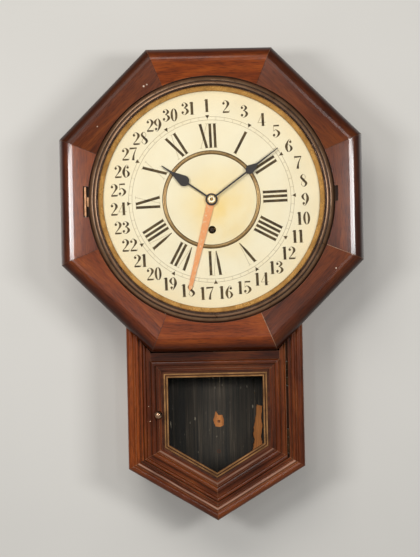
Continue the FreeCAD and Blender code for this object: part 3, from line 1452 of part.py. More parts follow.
# Suspension: slotted post on the back plate, a short spring strip, then the rod, bob and rating nut.
SUSPENSION_NEAR = "(pendulum_depth - suspension_width/2)"
SUSPENSION_FAR = "(pendulum_depth + suspension_width/2)"
POST_FOOT = "(verge_rise + post_rise)"
post = block("post_raw", "-post_width/2", "post_width/2", SUSPENSION_NEAR + " - 1.5", "back_plate_depth",
             POST_FOOT, POST_FOOT + " + post_height")
post_slit = block("post_slit", "-suspension_thick/2", "suspension_thick/2", SUSPENSION_NEAR + " - 3",
                  SUSPENSION_FAR, POST_FOOT + " - 1", POST_FOOT + " + post_height + 1")
keep("suspension_post", cut("suspension_post", post, [post_slit]))
keep("suspension_spring", block(
    "suspension_spring", "-suspension_thick/2", "suspension_thick/2", SUSPENSION_NEAR, SUSPENSION_FAR,
    "verge_rise", POST_FOOT + " + post_height - 1"))
BOB_Z = "(verge_rise - pendulum_length)"
keep("pendulum_rod", rod("pendulum_rod", "rod_radius", BOB_Z + " - bob_radius - rod_end",
                         "verge_rise - end_play", "0", "pendulum_depth", True))
bob_curve = "(bob_radius^2 + (bob_half - bob_edge)^2)/(2*(bob_half - bob_edge))"
bob = turned("pendulum_bob", [
    ("0", "pendulum_depth - bob_half", bob_curve), ("bob_radius", "pendulum_depth - bob_edge"),
    ("bob_radius", "pendulum_depth + bob_edge", bob_curve), ("0", "pendulum_depth + bob_half"),
])
bob_bore = sketch(bob, "XY_Plane")
circle(bob_bore, "rod_radius", "0", "-pendulum_depth")
pocket(bob, bob_bore)
keep("pendulum_bob", seat(bob, "0", BOB_Z))
nut_top = BOB_Z + " - bob_radius"
nut_place = ("0", "pendulum_depth", True)
nut_blank = rod("rating_nut_blank", "3*rod_radius", nut_top + " - nut_drop", nut_top, *nut_place)
nut_bore = rod("rating_nut_bore", "rod_radius", nut_top + " - nut_drop - 1", nut_top + " + 1", *nut_place)
keep("rating_nut", cut("rating_nut", nut_blank, [nut_bore]))

doc.recompute()
broken = [thing.Label for thing in doc.Objects if {"Invalid", "Error"} & set(thing.State)]
if broken:
    raise RuntimeError("not built: " + ", ".join(broken))
os.makedirs("parts", exist_ok=True)
for label, thing in nodes.items():
    shape = thing.Shape
    if shape.isNull() or not shape.isValid() or not shape.Solids:
        raise RuntimeError("%s has no valid solid" % label)
    shape.exportStep("parts/%s.step" % label)
    print("%-22s solids %2d volume %12.1f" % (label, len(shape.Solids), shape.Volume))
print(len(nodes), "nodes")
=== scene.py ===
import json
import math
import random

import bmesh
import bpy
from mathutils import Euler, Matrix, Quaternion, Vector
from mathutils.geometry import tessellate_polygon


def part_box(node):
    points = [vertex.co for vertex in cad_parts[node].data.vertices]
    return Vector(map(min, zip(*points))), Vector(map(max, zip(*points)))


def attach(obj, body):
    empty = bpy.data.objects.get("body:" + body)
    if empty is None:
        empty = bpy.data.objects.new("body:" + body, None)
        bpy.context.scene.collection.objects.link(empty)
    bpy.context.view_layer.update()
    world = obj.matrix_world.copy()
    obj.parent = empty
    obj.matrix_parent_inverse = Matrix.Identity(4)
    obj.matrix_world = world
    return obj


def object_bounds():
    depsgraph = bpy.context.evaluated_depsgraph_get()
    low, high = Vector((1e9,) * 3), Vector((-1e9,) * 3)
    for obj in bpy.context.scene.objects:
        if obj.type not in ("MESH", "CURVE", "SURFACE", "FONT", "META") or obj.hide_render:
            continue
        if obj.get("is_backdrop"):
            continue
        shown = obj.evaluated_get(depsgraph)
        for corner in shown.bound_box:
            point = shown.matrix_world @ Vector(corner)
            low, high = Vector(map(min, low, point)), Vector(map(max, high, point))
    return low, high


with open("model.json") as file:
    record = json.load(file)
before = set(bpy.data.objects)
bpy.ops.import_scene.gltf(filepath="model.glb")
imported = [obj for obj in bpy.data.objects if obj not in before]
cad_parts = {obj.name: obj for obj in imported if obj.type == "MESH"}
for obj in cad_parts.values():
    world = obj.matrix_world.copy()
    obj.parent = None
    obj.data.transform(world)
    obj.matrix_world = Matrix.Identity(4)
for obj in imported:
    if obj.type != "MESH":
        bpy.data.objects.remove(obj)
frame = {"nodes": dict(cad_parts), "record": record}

MM = 0.001
CAD_BOX = [list(corner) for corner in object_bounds()]
NODES = frame["nodes"]
SCENE = bpy.context.scene
CHANCE = random.Random(31)

# The dial's axis, its front face, the small turn of its print against the case, and the depth of the ink.
DIAL_Z = -0.130
DIAL_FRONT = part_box("dial_plate")[0][1]
PRINT_TURN = math.radians(1.8)
INK_FRONT, INK_BACK = DIAL_FRONT - 0.06 * MM, DIAL_FRONT + 0.02 * MM

# The head: half its width, how far in from the edge its rails get painted shade, and the angle between two of
# them.
HEAD_HALF = 0.205
SHADE_WIDTH = 22 * MM
EIGHTH = math.pi / 4

# Grain angles of upright pieces and of the lower edges of the drop.
UPRIGHT = math.pi / 2
SLANT = math.radians(31)


def tone(red, green, blue):
    """A colour as it shows on a screen, 0 to 255, as the linear colour a shader takes."""
    linear = []
    for level in (red, green, blue):
        share = level / 255
        linear.append(share / 12.92 if share <= 0.04045 else ((share + 0.055) / 1.055) ** 2.4)
    return (*linear, 1.0)


class Finish:
    """A Principled material and the node chains that feed it."""

    def __init__(self, name, **sockets):
        self.material = bpy.data.materials.new(name)
        self.material.use_nodes = True
        self.tree = self.material.node_tree
        self.shader = self.tree.nodes["Principled BSDF"]
        self.coordinates = self.node("ShaderNodeTexCoord").outputs["Object"]
        for label, level in sockets.items():
            self.shader.inputs[label.replace("_", " ")].default_value = level

    def node(self, kind, inputs=(), **settings):
        made = self.tree.nodes.new(kind)
        for label, setting in settings.items():
            setattr(made, label, setting)
        for label, source in dict(inputs).items():
            if isinstance(source, bpy.types.NodeSocket):
                self.tree.links.new(source, made.inputs[label])
            else:
                made.inputs[label].default_value = source
        return made

    def place(self, scale, turn=0.0, shift=(0, 0, 0)):
        """Object coordinates turned about Y, so that X runs along the grain, then stretched."""
        turned = self.node("ShaderNodeMapping", {"Vector": self.coordinates, "Rotation": Euler((0, turn, 0))})
        stretched = {"Vector": turned.outputs[0], "Scale": Vector(scale), "Location": Vector(shift)}
        return self.node("ShaderNodeMapping", stretched).outputs[0]

    def noise(self, vector, scale=1.0, detail=3.0, roughness=0.5, distortion=0.0):
        inputs = {
            "Vector": vector,
            "Scale": scale,
            "Detail": detail,
            "Roughness": roughness,
            "Distortion": distortion,
        }
        return self.node("ShaderNodeTexNoise", inputs).outputs[0]

    def ramp(self, factor, *stops):
        made = self.node("ShaderNodeValToRGB", {"Fac": factor})
        points = made.color_ramp.elements
        while len(points) < len(stops):
            points.new(0.5)
        for point, (place, level) in zip(points, stops):
            point.position = place
            point.color = level if isinstance(level, tuple) else (level, level, level, 1.0)
        return made.outputs[0]

    def mix(self, factor, first, second, blend="MIX"):
        made = self.node("ShaderNodeMix", data_type="RGBA", blend_type=blend)
        for socket, source in ((0, factor), (6, first), (7, second)):
            if isinstance(source, bpy.types.NodeSocket):
                self.tree.links.new(source, made.inputs[socket])
            else:
                made.inputs[socket].default_value = source
        return made.outputs[2]

    def shaded(self, colour, shade):
        """A colour darkened by a shade."""
        return self.mix(1.0, colour, shade, "MULTIPLY")

    def sums(self, operation, first, second=0.0):
        made = self.node("ShaderNodeMath", {0: first, 1: second}, operation=operation, use_clamp=True)
        return made.outputs[0]

    def vectors(self, operation, first, second=(0, 0, 0)):
        return self.node("ShaderNodeVectorMath", {0: first, 1: second}, operation=operation).outputs

    def distance(self, x, z, squash=(1, 1)):
        """How far a point lies from an axis through x, z, along the clock's depth, in metres."""
        moved = self.vectors("SUBTRACT", self.coordinates, (x, 0, z))[0]
        flattened = self.vectors("MULTIPLY", moved, (squash[0], 0, squash[1]))[0]
        return self.vectors("LENGTH", flattened)["Value"]

    def inset(self, turn):
        """0 at the outer edge of a rail of the head that runs along that angle, 1 behind its crest: the reach
        of the rail's painted shade.
        """
        moved = self.vectors("SUBTRACT", self.coordinates, (0, 0, DIAL_Z))[0]
        turned = self.node("ShaderNodeMapping", {"Vector": moved, "Rotation": Euler((0, turn, 0))})
        across = self.node("ShaderNodeSeparateXYZ", {0: turned.outputs[0]}).outputs["Z"]
        return self.between(self.sums("ABSOLUTE", across), CAD_BOX[1][0], CAD_BOX[1][0] - SHADE_WIDTH)

    def between(self, level, low, high):
        """0 at low, 1 at high."""
        inputs = {"Value": level, "From Min": low, "From Max": high}
        return self.node("ShaderNodeMapRange", inputs).outputs[0]

    def hollows(self, reach):
        """Ambient occlusion, for dirt and painted shade: 0 in tight corners, 1 in the open."""
        shaded = self.node("ShaderNodeAmbientOcclusion", {"Distance": reach}, samples=6, only_local=True)
        return self.between(shaded.outputs["AO"], 0.25, 0.85)

    def rounded(self, reach):
        """The surface's direction with its corners rounded."""
        return self.node("ShaderNodeBevel", {"Radius": reach}, samples=4).outputs[0]

    def edges(self, reach):
        """1 on sharp corners, 0 on faces."""
        bent = self.rounded(reach)
        straight = self.node("ShaderNodeNewGeometry").outputs["Normal"]
        return self.between(self.vectors("DOT_PRODUCT", bent, straight)["Value"], 0.99, 0.8)

    def bump(self, height, depth, strength, over=None):
        inputs = {"Height": height, "Distance": depth, "Strength": strength}
        if over:
            inputs["Normal"] = over
        return self.node("ShaderNodeBump", inputs).outputs[0]

    def feed(self, **sources):
        for label, socket in sources.items():
            self.tree.links.new(socket, self.shader.inputs[label.replace("_", " ")])
        return self.material


# Waves of the veneer per metre, along its grain and across it.
FIGURE_WAVES, CLOUD_WAVES = (7, 62, 62), (11, 16, 16)
PORE_WAVES, RIPPLE_WAVES = (85, 1150, 1150), (30, 46, 46)
# The painted shade of a rail at its outer edge and a little further in; dirt and painted shade in hollows;
# rubbed wood, and a pale line on a bead that is rubbed wear and a painted highlight.
RAIL_EDGE_SHADE, RAIL_INNER_SHADE = tone(104, 92, 84), tone(156, 144, 134)
HOLLOW_DIRT_AND_SHADE, RUBBED_EDGE, BEAD_WEAR_AND_HIGHLIGHT = tone(92, 80, 74), tone(176, 134, 102), tone(182, 142, 120)
BEAD_HALF = 1.7 * MM


def mahogany(turn, tones, seed, wear=0.6, rail=False, polish=0.3, line=None):
    """Varnished veneer with its grain along an angle from X, dirt and painted shade in the hollows, and
    rubbed edges.

    A rail gets painted shade towards its outer edge; line is where, across the grain, a pale line is painted
    on a bead: rubbed wear and a painted highlight.
    """
    made = Finish(
        "veneer_%02d" % seed,
        Specular_IOR_Level=0.12,
        Coat_Weight=polish,
        Coat_Roughness=0.2 - 0.13 * polish,
    )
    shift = (seed * 1.7, seed * 0.9, seed * 2.3)
    figure = made.noise(made.place(FIGURE_WAVES, turn, shift), detail=7, roughness=0.62, distortion=0.7)
    clouds = made.noise(made.place(CLOUD_WAVES, turn, shift), detail=3, distortion=0.4)
    pores = made.noise(made.place(PORE_WAVES, turn, shift), detail=2)
    blend = made.sums("ADD", made.sums("MULTIPLY", figure, 0.68), made.sums("MULTIPLY", clouds, 0.34))
    colour = made.ramp(blend, *zip((0.34, 0.50, 0.66), tones))
    colour = made.shaded(colour, made.ramp(pores, (0.36, 0.58), (0.52, 1.0)))
    if rail:
        # Painted shade: a rail darkens towards its outer edge.
        edge_shade = made.ramp(made.inset(turn), (0.0, RAIL_EDGE_SHADE), (0.3, RAIL_INNER_SHADE), (0.9, 1.0))
        colour = made.shaded(colour, edge_shade)
    # Dirt and painted shade: darker in the hollows.
    colour = made.shaded(colour, made.ramp(made.hollows(9 * MM), (0.0, HOLLOW_DIRT_AND_SHADE), (0.8, 1.0)))
    rubbed = made.sums("MULTIPLY", made.edges(0.9 * MM), made.ramp(figure, (0.36, 0.0), (0.60, wear)))
    colour = made.mix(rubbed, colour, RUBBED_EDGE)
    if line:
        # A pale line along the bead: rubbed wear and a painted highlight on its crest.
        across = made.node("ShaderNodeSeparateXYZ", {0: made.place((1, 1, 1), turn)}).outputs["Z"]
        below, above = (made.between(across, line + side * BEAD_HALF, line) for side in (-1, 1))
        bead_highlight_and_wear = made.sums("MULTIPLY", below, above)
        bead_highlight_and_wear = made.sums("MULTIPLY", bead_highlight_and_wear, made.ramp(figure, (0.36, 0.3), (0.58, 1.0)))
        colour = made.mix(bead_highlight_and_wear, colour, BEAD_WEAR_AND_HIGHLIGHT)
    shine = made.ramp(clouds, (0.3, 0.3), (0.7, 0.42))
    soft = made.rounded(0.5 * MM)
    ripple = made.noise(made.place(RIPPLE_WAVES, turn, shift), detail=2)
    normal = made.bump(ripple, 0.2 * MM, 0.2, soft)
    normal = made.bump(pores, 0.05 * MM, 0.25, normal)
    return made.feed(Base_Color=colour, Roughness=shine, Normal=normal)


def softwood(name, turn, dark, light, seed):
    """Plain stained board with open grain and a dull surface."""
    made = Finish(name, Specular_IOR_Level=0.3)
    shift = (seed, seed * 1.3, seed * 0.7)
    figure = made.noise(made.place((3, 75, 75), turn, shift), detail=6, roughness=0.65, distortion=0.9)
    fibre = made.noise(made.place((40, 1400, 1400), turn, shift), detail=2)
    stain = made.noise(made.place((9, 13, 13), turn, shift), detail=4)
    colour = made.ramp(figure, (0.33, dark), (0.66, light))
    colour = made.shaded(colour, made.ramp(fibre, (0.35, 0.7), (0.6, 1.0)))
    colour = made.shaded(colour, made.ramp(stain, (0.34, 0.6), (0.56, 1.0)))
    normal = made.bump(fibre, 0.12 * MM, 0.6)
    shine = made.ramp(fibre, (0.3, 0.62), (0.7, 0.85))
    return made.feed(Base_Color=colour, Roughness=shine, Normal=normal)


def metal(name, bright, tarnish, seed, cover, rough):
    """Metal with patches of tarnish, fine scratches and brighter corners."""
    made = Finish(name, Metallic=1.0)
    shift = (seed, seed * 2.1, seed * 1.4)
    patches = made.noise(made.place((70, 70, 70), 0, shift), detail=6, roughness=0.62)
    scratches = made.noise(made.place((900, 900, 900), 0, shift), detail=2)
    mask = made.ramp(patches, (cover - 0.14, 0.0), (cover + 0.16, 1.0))
    colour = made.mix(mask, tarnish, bright)
    colour = made.mix(made.edges(0.5 * MM), colour, bright)
    wear = made.sums("ADD", made.sums("MULTIPLY", scratches, 0.2), made.sums("MULTIPLY", patches, 0.12))
    shine = made.sums("ADD", wear, rough - 0.16)
    return made.feed(Base_Color=colour, Roughness=shine, Normal=made.bump(scratches, 0.02 * MM, 0.35))


def turned_brass(name, stops, seed, rough=0.3):
    """Old lacquered brass spun round the dial's axis: its colour follows the distance from that axis."""
    made = Finish(name, Metallic=0.6)
    shift = (seed, seed * 2.1, seed * 1.4)
    radius = made.distance(0, DIAL_Z)
    low, high = stops[0][0], stops[-1][0]
    across = made.between(radius, low * MM, high * MM)
    colour = made.ramp(across, *[((place - low) / (high - low), shade) for place, shade in stops])
    patches = made.noise(made.place((55, 55, 55), 0, shift), detail=7, roughness=0.65)
    spots = made.noise(made.place((420, 420, 420), 0, shift), detail=3)
    colour = made.shaded(colour, made.ramp(patches, (0.32, tone(220, 210, 198)), (0.58, 1.0)))
    colour = made.shaded(colour, made.ramp(spots, (0.26, tone(176, 154, 128)), (0.36, 1.0)))
    ring = made.node("ShaderNodeCombineXYZ", {"X": radius}).outputs[0]
    turning = made.noise(ring, scale=5200, detail=2)
    shine = made.sums("ADD", made.sums("MULTIPLY", patches, 0.25), rough - 0.12)
    return made.feed(Base_Color=colour, Roughness=shine, Normal=made.bump(turning, 0.012 * MM, 0.5))


# Middles, in x and z, of the stain on the dial and of the painted pool of light on the lining.
STAIN, LINING_LIGHT_POOL = (0.014, DIAL_Z - 0.016), (0.014, -0.425)


def cream_paint():
    """Aged dial paint, yellower outwards, with a stain about the centre and fine specks."""
    made = Finish("dial_cream", Specular_IOR_Level=0.3)
    clouds = made.noise(made.place((26, 26, 26)), detail=5, roughness=0.6)
    ring = made.ramp(
        made.between(made.distance(0, DIAL_Z), 0, 0.150),
        (0.0, tone(250, 232, 182)),
        (0.42, tone(250, 239, 204)),
        (0.72, tone(250, 239, 205)),
        (1.0, tone(246, 230, 188)),
    )
    colour = made.mix(made.ramp(clouds, (0.4, 0.0), (0.75, 0.5)), ring, tone(244, 226, 182))
    near = made.between(made.distance(*STAIN, (1, 0.85)), 0.060, 0.004)
    stain = made.sums("MULTIPLY", near, made.ramp(clouds, (0.30, 0.25), (0.62, 1.0)))
    colour = made.mix(stain, colour, tone(250, 220, 146))
    specks = made.noise(made.place((310, 310, 310)), detail=3, roughness=0.7)
    colour = made.mix(made.ramp(specks, (0.70, 0.0), (0.76, 0.7)), colour, tone(178, 140, 84))
    shine = made.ramp(clouds, (0.3, 0.42), (0.7, 0.6))
    normal = made.bump(made.noise(made.place((160, 160, 160)), detail=4), 0.06 * MM, 0.5)
    return made.feed(Base_Color=colour, Roughness=shine, Normal=normal)


def ink(name, strong, weak, seed):
    """Printed ink, worn thin in places."""
    made = Finish(name, Specular_IOR_Level=0.25)
    wear = made.noise(made.place((130, 130, 130), 0, (seed, 0, seed)), detail=6, roughness=0.7)
    colour = made.ramp(wear, (0.40, strong), (0.72, weak))
    normal = made.bump(wear, 0.02 * MM, 0.4)
    return made.feed(Base_Color=colour, Roughness=made.ramp(wear, (0.3, 0.5), (0.7, 0.7)), Normal=normal)


def painted(name, main, worn, cover, rough, seed):
    """Thin paint or blacking over metal, rubbed through on corners and in specks."""
    made = Finish(name, Specular_IOR_Level=0.45)
    wear = made.noise(made.place((240, 240, 240), 0, (seed, seed, seed)), detail=6, roughness=0.66)
    mask = made.ramp(wear, (cover, 0.0), (cover + 0.12, 1.0))
    mask = made.sums("ADD", mask, made.sums("MULTIPLY", made.edges(0.3 * MM), 0.5))
    colour = made.mix(mask, main, worn)
    shine = made.ramp(wear, (0.3, rough), (0.7, rough + 0.2))
    return made.feed(Base_Color=colour, Roughness=shine, Normal=made.bump(wear, 0.05 * MM, 0.4))


def clear_glass(name, seed):
    """Old clear glass: it lets light through, gains gloss at low angles and carries faint smears."""
    made = Finish(name, Base_Color=tone(30, 36, 34), Roughness=0.04, IOR=1.5)
    smears = made.noise(made.place((9, 9, 30), 0.6, (seed, 0, 0)), detail=5, roughness=0.6)
    gloss = made.node("ShaderNodeFresnel", {"IOR": 1.5}).outputs[0]
    haze = made.ramp(smears, (0.45, 0.0), (0.8, 0.02))
    alpha = made.sums("ADD", made.sums("MULTIPLY", gloss, 0.6), haze)
    ripple = made.noise(made.place((14, 14, 22), 0.2, (seed, 1, 0)), detail=1)
    return made.feed(Alpha=alpha, Normal=made.bump(ripple, 0.2 * MM, 0.15))


def blackened_lining():
    """Black lining paper with upright streaks, scuffs and pale nicks, with a painted pool of light in its
    middle and painted shade towards its sides.
    """
    made = Finish("lining_black", Specular_IOR_Level=0.3)
    streaks = made.noise(made.place((260, 260, 7)), detail=5, roughness=0.66)
    clouds = made.noise(made.place((16, 16, 9), 0, (4, 0, 2)), detail=4)
    tones = ((0.36, tone(30, 28, 23)), (0.58, tone(66, 58, 48)), (0.74, tone(112, 102, 88)))
    colour = made.shaded(made.ramp(streaks, *tones), made.ramp(clouds, (0.35, 0.5), (0.62, 1.0)))
    # Painted light and shade: lighter in the middle, darker towards the sides.
    faded_ink_and_lit_lining = made.between(made.distance(*LINING_LIGHT_POOL, (1, 0.5)), 0.062, 0.020)
    colour = made.shaded(colour, made.ramp(faded_ink_and_lit_lining, (0.0, 0.6), (1.0, 1.5)))
    nicks = made.noise(made.place((340, 340, 70), 0, (1, 0, 6)), detail=2)
    colour = made.mix(made.ramp(nicks, (0.71, 0.0), (0.74, 0.8)), colour, tone(176, 164, 142))
    normal = made.bump(streaks, 0.12 * MM, 0.6)
    shine = made.ramp(streaks, (0.3, 0.55), (0.7, 0.8))
    return made.feed(Base_Color=colour, Roughness=shine, Normal=normal)


# Three tones of each kind of veneer, from the dark of its figure to the light.
RED = (tone(74, 27, 5), tone(122, 52, 9), tone(152, 74, 18))
WARM = (tone(66, 24, 5), tone(108, 45, 8), tone(138, 66, 17))
BROWN = (tone(48, 18, 4), tone(88, 36, 7), tone(118, 57, 15))
DEEP = (tone(50, 20, 6), tone(88, 38, 10), tone(116, 57, 18))
DARK = (tone(40, 15, 4), tone(74, 29, 6), tone(100, 47, 13))

BOARD = (tone(58, 32, 19), tone(112, 66, 38))
MATERIALS = {
    "back": softwood("back_board_wood", UPRIGHT, tone(158, 90, 42), tone(220, 142, 76), 3.0),
    "case": softwood("case_board_wood", UPRIGHT, *BOARD, 5.0),
    "case_across": softwood("case_board_wood_across", 0.0, *BOARD, 6.0),
    "brass": metal("brass_plate", tone(206, 158, 84), tone(150, 104, 50), 2.0, 0.42, 0.32),
    "hardware": metal("brass_hardware", tone(164, 124, 92), tone(92, 64, 44), 7.0, 0.48, 0.36),
    # Tarnished brass, made darker than its tarnish so the catch spring reads dark in its slot: tarnish and
    # painted shade.
    "tarnish_and_shade": metal("brass_tarnish_and_shade", tone(76, 54, 34), tone(40, 28, 19), 13.0, 0.52, 0.62),
    "knob": metal("brass_knob", tone(160, 130, 106), tone(84, 62, 50), 9.0, 0.46, 0.16),
    "nut": metal("brass_nut", tone(250, 236, 204), tone(216, 192, 150), 11.0, 0.40, 0.34),
    "steel": metal("steel_plain", tone(150, 148, 144), tone(98, 88, 80), 4.0, 0.46, 0.34),
    "dark_steel": metal("steel_dark", tone(92, 80, 68), tone(46, 36, 28), 12.0, 0.52, 0.36),
    "rusted": metal("steel_rusted", tone(128, 120, 112), tone(92, 58, 38), 8.0, 0.55, 0.46),
    "gilt": metal("gilt_strip", tone(150, 112, 72), tone(98, 70, 44), 6.0, 0.48, 0.45),
    "slip": softwood("slip_wood", 0.4, tone(58, 27, 12), tone(104, 54, 27), 9.0),
    "seam": softwood("seam_dark", 0.3, tone(16, 9, 6), tone(36, 20, 13), 2.0),
    # Dark wood on the bezel's seat and notches: painted shade.
    "seat_shade": softwood("seat_wood_painted_shade", 0.3, tone(30, 17, 10), tone(60, 35, 20), 11.0),
    "crack": softwood("seam_pale", 0.3, tone(150, 112, 80), tone(206, 176, 144), 4.0),
    "putty": softwood("nail_filler", 0.9, tone(186, 158, 132), tone(232, 214, 194), 7.0),
    "black": painted("blackened_steel", tone(36, 29, 24), tone(92, 78, 66), 0.68, 0.4, 2.0),
    "coral": painted("coral_paint", tone(242, 162, 100), tone(244, 196, 148), 0.52, 0.45, 5.0),
    "dial": cream_paint(),
    "ink": ink("numeral_ink", tone(58, 44, 22), tone(112, 92, 56), 1.0),
    "faded_ink_and_lit_lining": ink("track_ink", tone(128, 106, 64), tone(188, 164, 116), 4.0),
    "dial_glass": clear_glass("dial_glass", 2.0),
    "door_glass": clear_glass("door_glass_pane", 6.0),
    "lining": blackened_lining(),
    # Tones by the distance from the dial's axis, in mm.
    "bezel": turned_brass(
        "bezel_brass",
        (
            (155.0, tone(52, 34, 22)),
            (155.9, tone(130, 100, 74)),
            (157.6, tone(146, 114, 88)),
            (158.8, tone(118, 88, 64)),
            (159.4, tone(44, 31, 21)),
            (160.1, tone(40, 28, 19)),
            (160.9, tone(116, 88, 64)),
            (163.0, tone(124, 95, 70)),
            (165.2, tone(104, 78, 56)),
            (166.2, tone(64, 46, 32)),
        ),
        3.0,
    ),
    "sight": turned_brass(
        "sight_ring_brass",
        (
            (146.2, tone(112, 82, 46)),
            (147.2, tone(214, 166, 98)),
            (150.4, tone(220, 172, 102)),
            (151.8, tone(196, 146, 80)),
            (152.6, tone(84, 56, 34)),
        ),
        5.0,
        0.26,
    ),
    "ring": turned_brass(
        "centre_ring_brass",
        (
            (60.9, tone(104, 82, 48)),
            (62.6, tone(158, 130, 84)),
            (65.0, tone(146, 118, 74)),
            (66.7, tone(92, 70, 40)),
        ),
        8.0,
        0.34,
    ),
}


def dress(node, *materials, choose=None):
    """Gives a CAD node its finish; choose picks one by the middle of a face and its direction."""
    mesh = NODES[node].data
    mesh.materials.clear()
    for material in materials:
        mesh.materials.append(material)
    for face in mesh.polygons:
        face.material_index = choose(face.center, face.normal) if choose else 0


# Rails of the head, clockwise from the top: eighths of a turn of the grain, tones, seed and polish.
RAILS = {
    "top": (0, RED, 1, 0.35),
    "upper_right": (-1, DEEP, 2, 0.35),
    "right": (2, BROWN, 3, 0.85),
    "lower_right": (1, BROWN, 4, 0.25),
    "bottom": (0, RED, 5, 0.25),
    "lower_left": (-1, WARM, 6, 0.25),
    "left": (2, WARM, 7, 0.85),
    "upper_left": (1, DEEP, 8, 0.12),
}
# The bezel's seat, and the notches for its hinge and catch, are cut into raw wood below the crest; that wood
# is given a dark finish, painted shade in these recesses.
SEAT_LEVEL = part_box("octagon_top")[0][1] + 4 * MM
FACING = 0.995


def by_seat(middle, normal):
    return 1 if normal.y < -FACING and middle.y > SEAT_LEVEL else 0


for place, (turns, tones, seed, polish) in RAILS.items():
    veneer = mahogany(turns * EIGHTH, tones, seed, rail=True, polish=polish)
    dress("octagon_" + place, veneer, MATERIALS["seat_shade"], choose=by_seat)

# The level that parts the upright mouldings from the lower ones.
LOWER_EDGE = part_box("drop_mouldings")[0][2] + 95 * MM
# Where the beads of the lower mouldings and lower door rails run, across their grain: a pale line is painted
# there, rubbed wear and a painted highlight.
MOULDING_BEAD, DOOR_BEAD = -0.4718, -0.4424


def by_moulding(middle, normal):
    return (2 if middle.z < LOWER_EDGE else 0) + (1 if middle.x > 0 else 0)


def by_side(middle, normal):
    return 1 if middle.x > 0 else 0


dress(
    "drop_mouldings",
    mahogany(UPRIGHT, WARM, 11),
    mahogany(UPRIGHT, BROWN, 12),
    mahogany(-SLANT, BROWN, 13, 1.0, line=MOULDING_BEAD),
    mahogany(SLANT, BROWN, 14, 1.0, line=MOULDING_BEAD),
    choose=by_moulding,
)
dress("door_stile_left", mahogany(UPRIGHT, BROWN, 15))
dress("door_stile_right", mahogany(UPRIGHT, BROWN, 16))
dress("door_top_rail", mahogany(0, DARK, 17))
dress(
    "door_lower_rails",
    mahogany(-SLANT, BROWN, 18, 0.9, line=DOOR_BEAD),
    mahogany(SLANT, BROWN, 19, 0.9, line=DOOR_BEAD),
    choose=by_side,
)

FINISHES = {
    "back": ["back_board"],
    "case": ["case_side_left", "case_side_right"],
    "case_across": ["case_top", "case_bottom_boards"],
    "brass": [
        "front_plate", "back_plate", "centre_wheel", "second_wheel", "third_wheel", "escape_wheel",
        "great_wheel", "minute_wheel", "hour_wheel", "date_wheel", "calendar_wheel",
        "suspension_post", "rating_nut", "pendulum_bob", "door_latch_tongue",
    ],
    "hardware": ["bezel_hinge_leaf"],
    "tarnish_and_shade": ["door_hinge_leaves", "bezel_catch_spring", "cannon_pinion"],
    "dark_steel": ["winding_arbor"],
    "steel": [
        "mainspring", "plate_pillars", "click", "verge_crutch", "pendulum_rod", "suspension_spring",
        "hinge_pins", "wood_screws",
    ],
    "rusted": ["hanger_plate"],
    "knob": ["door_knob"],
    "nut": ["hand_nut"],
    "black": ["hour_hand", "minute_hand"],
    "coral": ["calendar_hand"],
    "dial": ["dial_plate"],
    "ring": ["dial_centre_ring"],
    "bezel": ["bezel_ring"],
    "sight": ["bezel_sight_ring"],
    "dial_glass": ["bezel_glass"],
    "door_glass": ["door_glass"],
}
for finish, nodes in FINISHES.items():
    for node in nodes:
        dress(node, MATERIALS[finish])

# Only the two ribs of the slip round the pane are gilt; its flats are stained.
RIB_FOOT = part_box("door_bead")[0][1] + 0.4 * MM


def by_rib(middle, normal):
    return 0 if middle.y < RIB_FOOT else 1


def by_hinge(middle, normal):
    return 1 if middle.x < 0 else 0


dress("door_bead", MATERIALS["gilt"], MATERIALS["slip"], choose=by_rib)
# The bezel's hinge is at the left, the door's hinges are at the right.
dress("hinge_case_leaves", MATERIALS["tarnish_and_shade"], MATERIALS["hardware"], choose=by_hinge)


def piece(name, build, material, body):
    """A new piece made by build(bm), riding on a body."""
    mesh = bpy.data.meshes.new(name)
    bm = bmesh.new()
    build(bm)
    bmesh.ops.recalc_face_normals(bm, faces=bm.faces)
    bm.to_mesh(mesh)
    bm.free()
    mesh.materials.append(material)
    made = bpy.data.objects.new(name, mesh)
    SCENE.collection.objects.link(made)
    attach(made, body)


def around(count):
    """The angles of that many points round a circle."""
    return [math.tau * step / count for step in range(count)]


def tube(bm, rows, closed=False):
    """The walls between four rows of vertices that run side by side, and the ends unless it is closed."""
    count = len(rows[0])
    for index in range(count if closed else count - 1):
        after = (index + 1) % count
        for one, two in ((0, 1), (1, 2), (2, 3), (3, 0)):
            bm.faces.new((rows[one][index], rows[two][index], rows[two][after], rows[one][after]))
    if not closed:
        for end in (0, count - 1):
            bm.faces.new([row[end] for row in rows])


def strip(bm, lefts, rights, front, back, closed=False):
    """A flat band between two rows of (x, z) points, from the depth front to the depth back."""
    rows = []
    for points, depth in ((lefts, front), (rights, front), (rights, back), (lefts, back)):
        rows.append([bm.verts.new((x, depth, z)) for x, z in points])
    tube(bm, rows, closed)


def prism(bm, corners, front, back):
    """A flat shape with (x, z) corners, from the depth front to the depth back."""
    near = [bm.verts.new((x, front, z)) for x, z in corners]
    far = [bm.verts.new((x, back, z)) for x, z in corners]
    bm.faces.new(near)
    bm.faces.new(far[::-1])
    for index in range(len(corners)):
        after = (index + 1) % len(corners)
        bm.faces.new((near[index], far[index], far[after], near[after]))


CURVE_STEPS = 7


def curve_through(points):
    """Points on a smooth curve through (x, y, width) points."""
    run = []
    last = len(points) - 1
    for index in range(last):
        before, start, end, after = (points[max(0, min(last, index + k))] for k in (-1, 0, 1, 2))
        for step in range(CURVE_STEPS):
            t = step / CURVE_STEPS
            run.append(tuple(
                0.5 * (2 * b + (c - a) * t + (2 * a - 5 * b + 4 * c - d) * t * t
                       + (3 * b - a - 3 * c + d) * t ** 3)
                for a, b, c, d in zip(before, start, end, after)
            ))
    run.append(points[-1])
    return run


